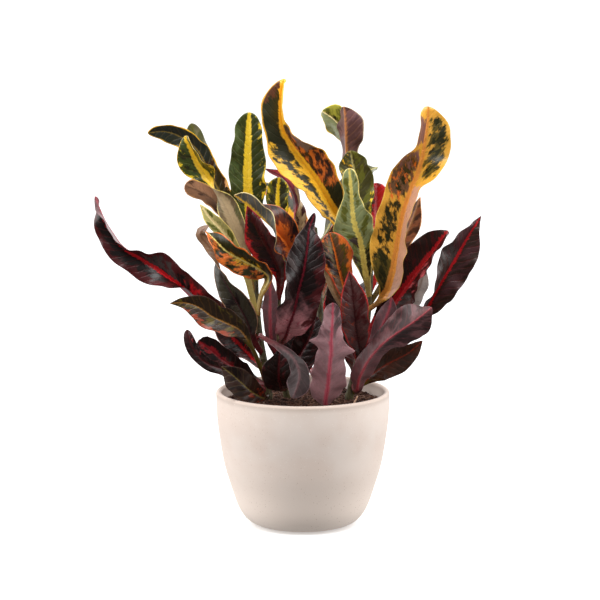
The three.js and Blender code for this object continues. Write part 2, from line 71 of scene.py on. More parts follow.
# Each leaf: shoot, height of its node, kind, end, usual roll and fold in
# degrees, and its midrib as [x, y, z, half width], with the roll and the fold
# there where they differ from the usual ones.
LEAVES = {
    "sweeping": ["left", 150, "maroon", "point", 55, 62, [
      [-45, -4, 159, 4, 60, 50], [-62, -12, 170, 9, 55, 60], [-76, -17, 177, 12], [-87, -20, 186, 13],
      [-95, -21, 194, 13, 50, 60], [-104, -22, 202, 14, 25, 42], [-115, -23, 210.5, 15.5, 5, 26],
      [-129, -24, 220.5, 15.5, -20, 38], [-142, -24, 229, 14, -38, 50], [-150, -24, 240, 13, -42, 45],
      [-156, -25, 250, 11, -50, 38], [-160, -26, 259.5, 8, -100, 26], [-163, -27, 269, 5, -150, 20],
    ]],
    "amber": ["left", 116, "bronze", "point", 10, 22, [
      [-38, -21, 142, 1.8, 20], [-42, -31, 152, 2.2, 20], [-50, -40, 165, 7, 15], [-60, -45, 171, 11, 12],
      [-71, -47, 176.5, 12], [-82, -49, 184.5, 10.5], [-92, -50, 188, 6.5, 0], [-104, -50, 187.5, 2, 0],
    ]],
    "slate": ["left", 138, "maroon", "round", -240, 22, [
      [-41, -16, 156, 3.5, 10], [-44, -22, 168, 9, 5], [-50, -28, 181, 11, 0], [-57, -31, 194, 10, -20],
      [-64, -30, 207, 8, -50], [-68, -28, 219, 5, -100], [-75, -27, 231, 4, -160], [-81, -29, 240, 4.5, -200],
      [-74, -31, 246.5, 4],
    ]],
    "ember_wave": ["left", 170, "gold", "round", -40, 30, [
      [-33, -18, 189, 2.4], [-27, -29, 205, 4.5, -30], [-36, -38, 214, 10.5, -18], [-49, -43, 221.5, 12, -15],
      [-60, -46, 228.5, 11, -5], [-69, -45, 237, 7.5, 35], [-76, -40, 243, 5, 90],
    ]],
    "lime_twist": ["left", 196, "lime", "round", 180, 15, [
      [-43, -7, 214, 3], [-52, -11, 237, 8.5], [-57, -12, 251, 9.5, 178, 20], [-63, -12, 263, 8, 160, 22],
      [-69, -12, 270.5, 5, 115, 14], [-73, -12, 277, 4.5, 60, 12], [-77, -12, 284, 9, 5, 20],
      [-81, -12, 291, 14, -26, 38], [-87, -12, 303, 14.5, -30, 42], [-93, -12, 315, 7.5, -32, 42],
    ]],
    "arching": ["left", 184, "bronze", "round", 10, 20, [
      [-50, 13, 214, 3, 0], [-57, 18, 246, 8], [-66, 20, 266, 9], [-75, 21, 282, 9.5, 5],
      [-84, 21, 300, 9, 0], [-97, 20, 311, 9, -10], [-111, 18, 316, 8, -15], [-124, 16, 315, 5.5, -20],
    ]],
    "grey_tip": ["left", 174, "lime", "round", 180, 15, [
      [-46, 30, 211, 4], [-65, 35, 255, 7], [-77, 37, 281, 8], [-85, 37, 302, 8], [-90, 35, 321, 7],
    ]],
    "blunt_bronze": ["left", 178, "bronze", "blunt", 160, 15, [
      [-48, 2, 214, 4], [-58, 2, 244, 6.5], [-70, 0, 262, 7.5, 165], [-82, -1, 270, 8, 170],
      [-94, -1, 275, 7, 170],
    ]],
    "pale_small": ["left", 166, "pale", "point", 0, 20, [
      [-46, -10, 207, 3, 20], [-55, -15, 227, 5, 15], [-64, -19, 241, 6.5, 10], [-73, -21, 251, 6],
      [-81, -22, 262, 2.5],
    ]],
    "upright_green": ["left", 194, "lime", "round", 0, 15, [
      [-38, 13, 221, 3], [-42, 11, 249, 9], [-44, 10, 272, 15], [-44, 10, 295, 14.5], [-43.5, 10, 311, 12],
      [-43, 10, 322, 11], [-42.5, 10, 332, 10.5],
    ]],
    "ember_fold": ["middle", 196, "ember", "round", 125, 25, [
      [-9, -8, 214, 4, 0], [-12, -20, 229.5, 11, 15, 30], [-19, -29, 239.5, 16.5, 25, 35],
      [-27, -34, 248, 17, 58, 40], [-34.5, -37, 255.5, 14.5, 100, 32], [-42.5, -39, 263, 12, 118, 26],
      [-49, -39, 268, 10], [-53.5, -39, 271.5, 7],
    ]],
    "crimson_inner": ["middle", 180, "maroon", "point", -20, 25, [
      [-18, -4, 203, 5], [-25, -10, 220, 13], [-34, -14, 237, 13], [-40, -15, 250, 7, -10],
      [-44, -15, 260, 2.5, 0],
    ]],
    "plum": ["middle", 143, "maroon", "round", 10, 20, [
      [-14, -26, 157, 5], [-11, -38, 168, 14, 15, 27], [-7, -46, 181, 18, 18, 28], [-4, -50, 196, 19, 22, 33],
      [0, -53, 212, 18.5, 15, 30], [2.5, -54, 226, 16, 5, 26], [4, -54, 238, 12, -3, 24],
      [5, -53, 247, 4.5, 0, 25], [9, -52, 259, 4, 30],
    ]],
    "ember_right": ["right", 168, "ember", "round", 10, 22, [
      [41, -18, 181, 3], [33, -29, 196, 7, 15], [28, -36, 213, 11, 15], [25, -39, 227, 14],
      [21, -39, 242, 9, 0],
    ]],
    "tan_narrow": ["right", 150, "bronze", "point", 150, 20, [
      [38, -12, 171, 3], [28, -24, 188, 4.5, 160], [22, -29, 204, 5, 165], [18, -31, 220, 2.5, 170],
    ]],
    "rust_front": ["right", 118, "maroon", "point", 0, 25, [
      [45, -24, 143, 4], [42, -40, 164, 11], [40, -50, 184, 12.5], [38, -54, 202, 9], [36, -56, 214, 2.5],
    ]],
    "front_mauve": ["soil", 0, "maroon", "round", 180, 25, [
      [18, -28, 101.8, 2.5], [18, -34, 107, 13], [19.5, -44, 120, 15.5], [21, -56, 138, 13.5],
      [22, -65, 155, 12.5, 182], [22.5, -71, 171, 9.5, 184, 30], [23, -74, 183, 8, 186, 32],
      [23, -76, 192, 6, 188, 30],
    ]],
    "right_mauve": ["right", 112, "maroon", "round", 180, 30, [
      [43, -20, 113, 4], [45, -29, 124, 8.5, 180, 25], [51, -35, 138, 9.5, 180, 28], [59, -40, 149.5, 9],
      [68.5, -44, 159, 13, 180, 32], [78, -46, 166, 16.5, 178, 32], [88, -46, 173, 17, 175],
      [96, -44, 179, 12, 172], [101, -42, 183, 4, 170],
    ]],
    "low_bronze": ["right", 106, "bronze", "point", 0, 20, [
      [49, -8, 117, 3], [60, -14, 128, 10], [72, -18, 136, 12], [84, -21, 143, 9], [95, -22, 153, 2.5],
    ]],
    "red_midrib": ["right", 146, "maroon", "round", -38, 42, [
      [59, 0, 165, 4, -20, 25], [67.5, -5, 174, 10, -20, 32], [75, -9, 184.5, 14, -20, 34],
      [82, -12, 195, 17, -22, 36], [88.5, -15, 204.5, 18, -28], [95, -17, 213.5, 18.5, -37, 45],
      [102, -19, 222.5, 18, -39, 47], [109, -21, 233.5, 12.5, -38, 46], [114.5, -21, 241, 6],
    ]],
    "far_right": ["right", 132, "maroon", "point", 15, 30, [
      [62, 4, 146, 3, 0, 20], [80, 0, 158, 3, 0, 20], [94, -4, 170.5, 4.5], [99.5, -7, 179, 10, 30, 42],
      [104.5, -9, 189, 14.5, 32, 44], [110.5, -11, 200, 16, 28, 40], [116.5, -12, 210, 16.5, 22],
      [122.5, -13, 220, 16, 6, 22], [127.5, -14, 230, 15, 15, 27], [134.5, -15, 242, 8.5, 18, 32],
      [141, -15, 252, 2],
    ]],
    "grey_sliver": ["right", 153, "maroon", "point", 180, 20, [
      [67, 17, 165, 4], [86, 18, 177, 8], [95, 17, 192, 7], [98, 16, 208, 2.5],
    ]],
    "gold_right": ["right", 174, "gold", "round", -34, 46, [
      [61, -15, 184, 2.5, -15, 30], [67, -23, 193.5, 7, -22, 32], [70.5, -28, 206, 15, -25, 38],
      [73, -30, 219, 21.5, -30, 42], [75.5, -31, 234, 22.5], [78, -32, 249, 22, -35], [81, -33, 262, 20.5],
      [85, -33, 274, 21], [90, -32, 287, 22, -20, 38], [93, -30, 301, 21, 20, 40],
      [95, -29, 314.5, 21.5, 32, 42], [97, -27, 327.5, 18, 26, 40], [98, -25, 339.5, 12, 15, 32],
    ]],
    "dusky_back": ["right", 178, "bronze", "point", 150, 20, [
      [68, 6, 202, 3], [78, 13, 222, 6], [87, 13, 243, 8], [94, 11, 264, 2.5],
    ]],
    "red_peek": ["right", 188, "crimson", "blunt", 0, 20, [
      [60, 10, 205, 2.5], [61, 19, 227, 5], [59, 25, 249, 9], [59.5, 25, 274, 8],
    ]],
    "lime_back": ["right", 200, "lime", "round", 10, 20, [
      [48, 7, 221, 3, 5], [46, 14, 240, 7], [44, 18, 260, 13], [43, 20, 277, 14], [40, 20, 290, 12, 5],
      [38, 18, 300.5, 9, 0],
    ]],
    "pale_center": ["right", 184, "pale", "round", 0, 20, [
      [51, -10, 200, 3], [48, -17, 217, 8], [45.5, -21, 231, 12], [42, -25, 243, 13.5], [39.5, -27, 253, 15],
      [38.5, -28, 262, 10.5], [38, -30, 272, 6.5], [37, -31, 283, 7.2], [36, -31, 291.5, 7.5],
    ]],
    "gold_left": ["right", 210, "gold", "round", -42, 45, [
      [45, -5, 226, 2.5, 10, 28], [36, -11, 240, 8, 12, 28], [25, -14, 254, 9, 15, 30],
      [19.5, -19, 264, 15, 15, 34], [14.5, -22, 273, 17.5, 17, 35], [9, -23, 282, 20, 17, 36],
      [3, -24, 291, 22, 10, 33], [-3, -24, 300, 21.5, -6, 35], [-9, -24, 310, 20.5, -25, 38],
      [-15, -24, 322.5, 16, -30], [-16.5, -24, 337, 17, -38, 48], [-16, -24, 349.5, 13.5, -40, 48],
      [-14.5, -24, 361, 8],
    ]],
    "curl_mauve": ["right", 216, "lime", "round", 141, 30, [
      [53, 23, 232, 2.5, 180, 25], [49, 30, 247, 3, 180, 25], [41.5, 34, 264, 4, 172, 25],
      [37, 34, 283, 6, 155, 25], [35, 31, 300, 10, 143], [34.5, 27, 312, 14.5], [34, 25, 323.5, 15],
      [33, 24, 335.5, 9, 145],
    ]],
    "curl_green": ["right", 208, "lime", "round", 15, 32, [
      [57, 24, 220, 2.5, 0, 15], [55, 37, 239, 3.5, 0, 15], [48.5, 40, 263, 4, -10, 15],
      [42.5, 46, 287, 4.5, 0, 20], [37.5, 49, 304, 6.5, 5, 25], [31, 47, 316.5, 11.5], [23, 46, 325, 14.5],
      [15.5, 45, 330, 11],
    ]],
    "small_green": ["middle", 208, "lime", "round", 0, 18, [
      [-15, 16, 237, 4], [-20, 18, 256, 9], [-20, 20, 269, 9.5], [-19, 20, 279, 7],
    ]],
    "pink_tip": ["middle", 218, "crimson", "point", 140, 20, [
      [-5, 21, 249, 3], [-8, 25, 267, 5], [-16, 27, 278, 5], [-30, 27, 285, 3],
    ]],
    "tan_twist": ["middle", 226, "bronze", "point", 0, 22, [
      [-3, -1, 238, 4], [-2, -5, 250, 5], [-3, -7, 262, 4, 80], [-6, -7, 275, 3, 150],
    ]],
    "claw": ["left", 108, "maroon", "round", -25, 18, [
      [-43, -20, 118, 3, 20], [-55, -32, 127, 4.5, 15], [-65, -38, 133.5, 5, 10], [-73, -42, 137, 5, 5],
      [-79.5, -44, 142, 5.2, -5], [-85, -45, 149, 5.3, -15], [-88.5, -46, 156.5, 5.2, -20],
      [-91, -46, 166, 5],
    ]],
    "red_blaze": ["left", 113, "maroon", "blunt", 0, 20, [
      [-40, -8, 119, 4, 30], [-49, -13, 125.5, 8.5, 15], [-58, -19, 133, 10, 5], [-67, -23, 140.5, 10.5],
      [-75, -25, 147.5, 10.5], [-83, -26, 154, 8.5],
    ]],
    "crescent": ["left", 126, "maroon", "point", 12, 25, [
      [-40, -4, 135, 5, 25], [-48, -6, 144, 10, 20], [-56, -13, 154, 12.5], [-64, -16, 160.5, 9, 5],
      [-72, -18, 167, 2.5, 0],
    ]],
    "olive_low": ["left", 104, "bronze", "point", 0, 20, [
      [-31, -24, 107, 3, 10], [-40, -38, 114.5, 9, 5], [-49, -45, 124, 11.5], [-57, -47, 131.5, 9.5],
      [-64, -48, 137, 2.5],
    ]],
    "hanging_mauve": ["left", 150, "maroon", "round", 110, 20, [
      [-34, -22, 157, 2.5, 90], [-27, -38, 156, 3], [-17, -49, 152, 3.5, 140], [-8, -59, 146, 5, 165],
      [-3, -64, 136, 8, 180], [-4, -68, 126, 9.5, 190], [-8, -70, 116, 6, 200],
    ]],
    "low_dark": ["middle", 108, "maroon", "point", 0, 20, [
      [-17, -15, 114, 5], [-19, -28, 124, 13], [-19, -33, 136, 13], [-18, -36, 149, 3],
    ]],
    "black_mid": ["middle", 118, "maroon", "round", 0, 20, [
      [-5, -7, 135, 8], [3, -14, 149, 12], [8, -18, 163, 10], [10, -19, 173, 4],
    ]],
    "dark_right": ["right", 112, "maroon", "point", 0, 20, [
      [43, 12, 124, 5], [38, 17, 146, 12], [33, 20, 168, 14], [30, 21, 188, 12], [28, 21, 208, 3],
    ]],
    "mauve_right": ["right", 138, "maroon", "point", 180, 20, [
      [56, -12, 151, 4], [63, -22, 165, 8], [68, -26, 178, 7], [70, -28, 189, 2.5],
    ]],
    "deep_shade": ["middle", 104, "maroon", "point", 0, 15, [
      [-8, 17, 112, 5], [-6, 22, 126, 15], [-3, 24, 144, 18], [-1, 25, 160, 14], [0, 25, 173, 3],
    ]],
    "mauve_left": ["middle", 133, "maroon", "point", 180, 20, [
      [-25, -4, 149, 4], [-26, -14, 167, 6], [-26, -17, 186, 6], [-26, -15, 202, 2.5],
    ]],
}
REAR_LOWEST_NODE = 108
REAR_NODE_STEP = 12.5
# How far each rear leaf heads to the side of straight back, in degrees.
REAR_SPREADS = [44, 14, -56, -12, 16, -30, 38, -50, 60, -57]
# How far out and up the lowest and the highest of them go.
REAR_REACH = [88, 58]
REAR_CLIMB = [58, 60]
REAR_HALF_WIDTH = 12
REAR_START = [13, 40]
REAR_FOLD = 22
REAR_ROLL = 25
REAR_SEEDS = 100
# Their arch as shares of how far out, how far up and how wide.
REAR_ARCH = [
    [0.12, 0.16, 0.3], [0.35, 0.5, 0.9], [0.62, 0.8, 1], [0.85, 0.97, 0.7], [1, 1.02, 0.25],
]
REAR_KINDS = ["maroon", "maroon", "maroon", "bronze", "ember", "gold", "lime"]

# ---- Fine shape of a blade, in millimetres unless it says otherwise ----------
ROW_LENGTH = 1.7
FEWEST_ROWS = 44
MOST_ROWS = 110
# Shares of the half width at which columns of points stand.
HALF_COLUMNS = [0, 0.03, 0.07, 0.12, 0.2, 0.3, 0.41, 0.52, 0.63, 0.74, 0.84, 0.92, 0.97, 1]
BLADE_HALF_THICKNESS = 0.34
TIP_HALF_WIDTH = 0.3
STALK_ENDS_BY = 0.5
STALK_SINKS_IN = 2.2
STALK_FOOT = 1.25
VEIN_SPACING = 6.5
VEIN_SLANT = 0.9
VEIN_RELIEF = 0.16
GROOVE_DEPTH = 0.3
GROOVE_HALF_WIDTH = 1.1
RIB_DEPTH = 0.75
RIB_HALF_WIDTH = 1.4
# A half's curl between midrib and margin, in degrees, and its ruffle, in radians.
CUPS = (-14, 10)
RUFFLE = 0.3
WAVE_LENGTHS = (24, 40)
# The shorter waves, as shares of that length, and how deep they cut the margin.
SHORT_WAVE = 0.43
MARGIN_WAVE = 0.6
MARGIN_DEPTH = 0.035

# ---- Fine shape of shoots, pot and soil, in millimetres and shares -----------
SHOOT_ROWS = 90
SHOOT_SIDES = 20
NODE_SPACING = 7.5
LEAF_SCAR = 0.22
SHOOT_RIDGES = 0.04
SHOOT_SINKS_IN = 3
SHOOT_TIP = 1.5
MOST_NODES = 40
POT_FOOT = [[FOOT_RADIUS - 8, 0], [FOOT_RADIUS - 1, 0], [FOOT_RADIUS + 1.5, 0.1]]
POT_FACETS = 160
LIP_STEPS = 15
OUTER_STEPS = 60
INNER_STEPS = 50
POT_WOBBLE = 0.0006
SOIL_SIDE = [[64.3, 92], [62.1, 70.4], [58.5, 49.4], [53.2, 31.4], [43.6, 14.4], [35.6, 7.4]]
SOIL_RINGS = 44
SOIL_SPOKES = 150
SOIL_GRAIN = 0.35
SOIL_SEED = 5
LUMP_WAVES = 24
LUMP_FREQUENCIES = (0.1, 0.5)
LUMP_ANGLES = (0, 6.3)
LUMP_WAVES_PER_MM = 9
CRUMBS = 2600
CRUMBS_REACH = 63
SMALLEST_CRUMB = 0.5
CRUMB_RANGE = 1.5
CRUMB_RARITY = 2.5
CRUMB_RISE = 0.3
CRUMB_STRETCH = (0.6, 1.3)
CRUMB_FLATNESS = 0.8
CRUMB_CORNERS = [
    [0, 0, 1], [1, 0, 0.3], [0.2, 1, 0.2], [-1, 0.2, 0.3], [-0.1, -1, 0.3], [0.7, 0.6, -0.6],
    [-0.7, 0.7, -0.6], [-0.6, -0.7, -0.6], [0.7, -0.7, -0.6],
]
CRUMB_FACES = [
    (0, 1, 2), (0, 2, 3), (0, 3, 4), (0, 4, 1), (1, 5, 2), (2, 5, 6), (2, 6, 3), (3, 6, 7), (3, 7, 4),
    (4, 7, 8), (4, 8, 1), (1, 8, 5), (5, 8, 7), (5, 7, 6),
]
# Loose strands: how many, their lengths and radii, how far from the middle
# of the pot they lie, and their pale and dark paint.
STRANDS = {
    "soil_fibres": (170, (6, 20), (0.12, 0.3), (8, 63), ((116, 80, 62), (72, 46, 34))),
    "root_strands": (26, (12, 34), (0.3, 0.6), (25, 61), ((136, 100, 80), (84, 56, 44))),
}
STRAND_STEPS = 6
STRAND_LIFT = (0.2, 1.5)
STRAND_BEND = 0.6
TURN_AT_RIM = 1.2
SHORTEST_STEP = 0.5
STRAND_TAPER = 0.6
TWIG = [[36, -44, 101], [39, -46, 105], [41, -47, 109], [43, -46, 113]]
TWIG_RADII = (0.9, 0.6)
TWIG_PAINTS = ((206, 176, 150), (140, 100, 78))

# ---- Paints, as display red, green and blue from 0 to 255 --------------------
NIGHT = (26, 12, 10)
WINE = (74, 20, 22)
PLUM = (72, 40, 42)
CRIMSON = (196, 26, 34)
ROSE = (206, 96, 104)
MAUVE = (118, 82, 86)
ASH = (134, 118, 106)
SMOKE = (72, 60, 58)
OLIVE = (94, 80, 26)
FOREST = (42, 42, 12)
GREEN = (96, 98, 32)
SAGE = (184, 174, 106)
LEMON = (255, 216, 44)
GOLD = (250, 190, 44)
STRAW = (250, 226, 130)
CREAM = (248, 226, 164)
ORANGE = (224, 112, 36)
PEACH = (240, 174, 112)
TAN = (190, 164, 126)
RUST = (140, 48, 24)
UMBER = (58, 32, 18)
RUBY = (150, 24, 34)
GARNET = (92, 22, 28)
MOSS = (134, 126, 58)
BOG = (62, 60, 28)
COCOA = (62, 42, 36)

# The look of each kind of leaf: "face" and "foot" are the upper side's colours
# beyond and below "foot_until", "rib" the midrib, "rim" the margin, "back" the
# underside and "stalk" the leaf stalk. "veins" is how much of the midrib's
# colour the side veins take. "spots" lists colour, share covered, size in
# millimetres, where they gather and, if not all along the blade, between which
# shares of its length. "back_spots" gives colour, share covered, size and the
# share of the length beyond which they show.
KINDS = {
    "maroon": dict(
        face=NIGHT, foot=WINE, foot_until=0.25, rib=CRIMSON, rib_width=1.5, rim=WINE, rim_width=0.6,
        spots=[(WINE, 0.35, 10, ""), (CRIMSON, 0.12, 5, "rib")], back=MAUVE, back_rib=(172, 66, 78),
        stalk=(104, 26, 32), veins=0.06,
    ),
    "bronze": dict(
        face=UMBER, foot=OLIVE, foot_until=0.3, rib=ORANGE, rib_width=1.2, rim=RUST, rim_width=0.7,
        spots=[(OLIVE, 0.45, 9, ""), (ORANGE, 0.15, 5, "edge")], back=(122, 96, 68),
        back_rib=(176, 124, 80), back_spots=(OLIVE, 0.4, 10, 0.1), stalk=OLIVE, veins=0.1,
    ),
    "lime": dict(
        face=FOREST, foot=FOREST, foot_until=0.2, rib=LEMON, rib_width=3.0, rim=GREEN, rim_width=0.7,
        spots=[(GREEN, 0.4, 9, "edge"), (LEMON, 0.1, 4, "edge"), (LEMON, -0.1, 2, "")],
        back=(124, 126, 76), back_rib=(214, 202, 108), back_spots=((86, 92, 50), 0.45, 10, 0.1),
        stalk=MOSS, veins=0.02,
    ),
    "gold": dict(
        face=GOLD, foot=GOLD, foot_until=0.2, rib=GOLD, rib_width=3.2, rim=GOLD, rim_width=1.0,
        spots=[(FOREST, 0.7, 11, "lane"), (ORANGE, 0.25, 7, "edge")], back=(186, 150, 82),
        back_rib=(216, 186, 112), back_spots=((112, 98, 54), 0.5, 11, 0.1), stalk=(190, 160, 84), veins=0.0,
    ),
    "ember": dict(
        face=UMBER, foot=RUST, foot_until=0.35, rib=ORANGE, rib_width=2.2, rim=ORANGE, rim_width=1.0,
        spots=[(ORANGE, 0.4, 8, "rib"), (FOREST, 0.4, 8, "lane")], back=(132, 102, 88),
        back_rib=(190, 124, 84), back_spots=((92, 66, 52), 0.45, 10, 0.1), stalk=(150, 70, 50), veins=0.1,
    ),
    "pale": dict(
        face=SAGE, foot=GREEN, foot_until=0.3, rib=CREAM, rib_width=2.0, rim=STRAW, rim_width=0.9,
        spots=[(GREEN, 0.35, 9, "lane")], back=(156, 150, 104), back_rib=(216, 204, 150),
        stalk=(190, 176, 100), veins=0.08,
    ),
    "crimson": dict(
        face=CRIMSON, foot=WINE, foot_until=0.3, rib=ROSE, rib_width=1.2, rim=ROSE, rim_width=0.6,
        spots=[(WINE, 0.35, 8, "")], back=ROSE, back_rib=CREAM, stalk=CRIMSON, veins=0.15,
    ),
}

# The look of leaves that stand deep in the plant: a duller midrib and foot and no crimson spots as painted
# shade, and smoky grey spots as a painted sheen.
DEEP_SHADE = dict(foot=UMBER, rib=GARNET, spots=[(WINE, 0.3, 9, ""), (SMOKE, 0.2, 14, "")])
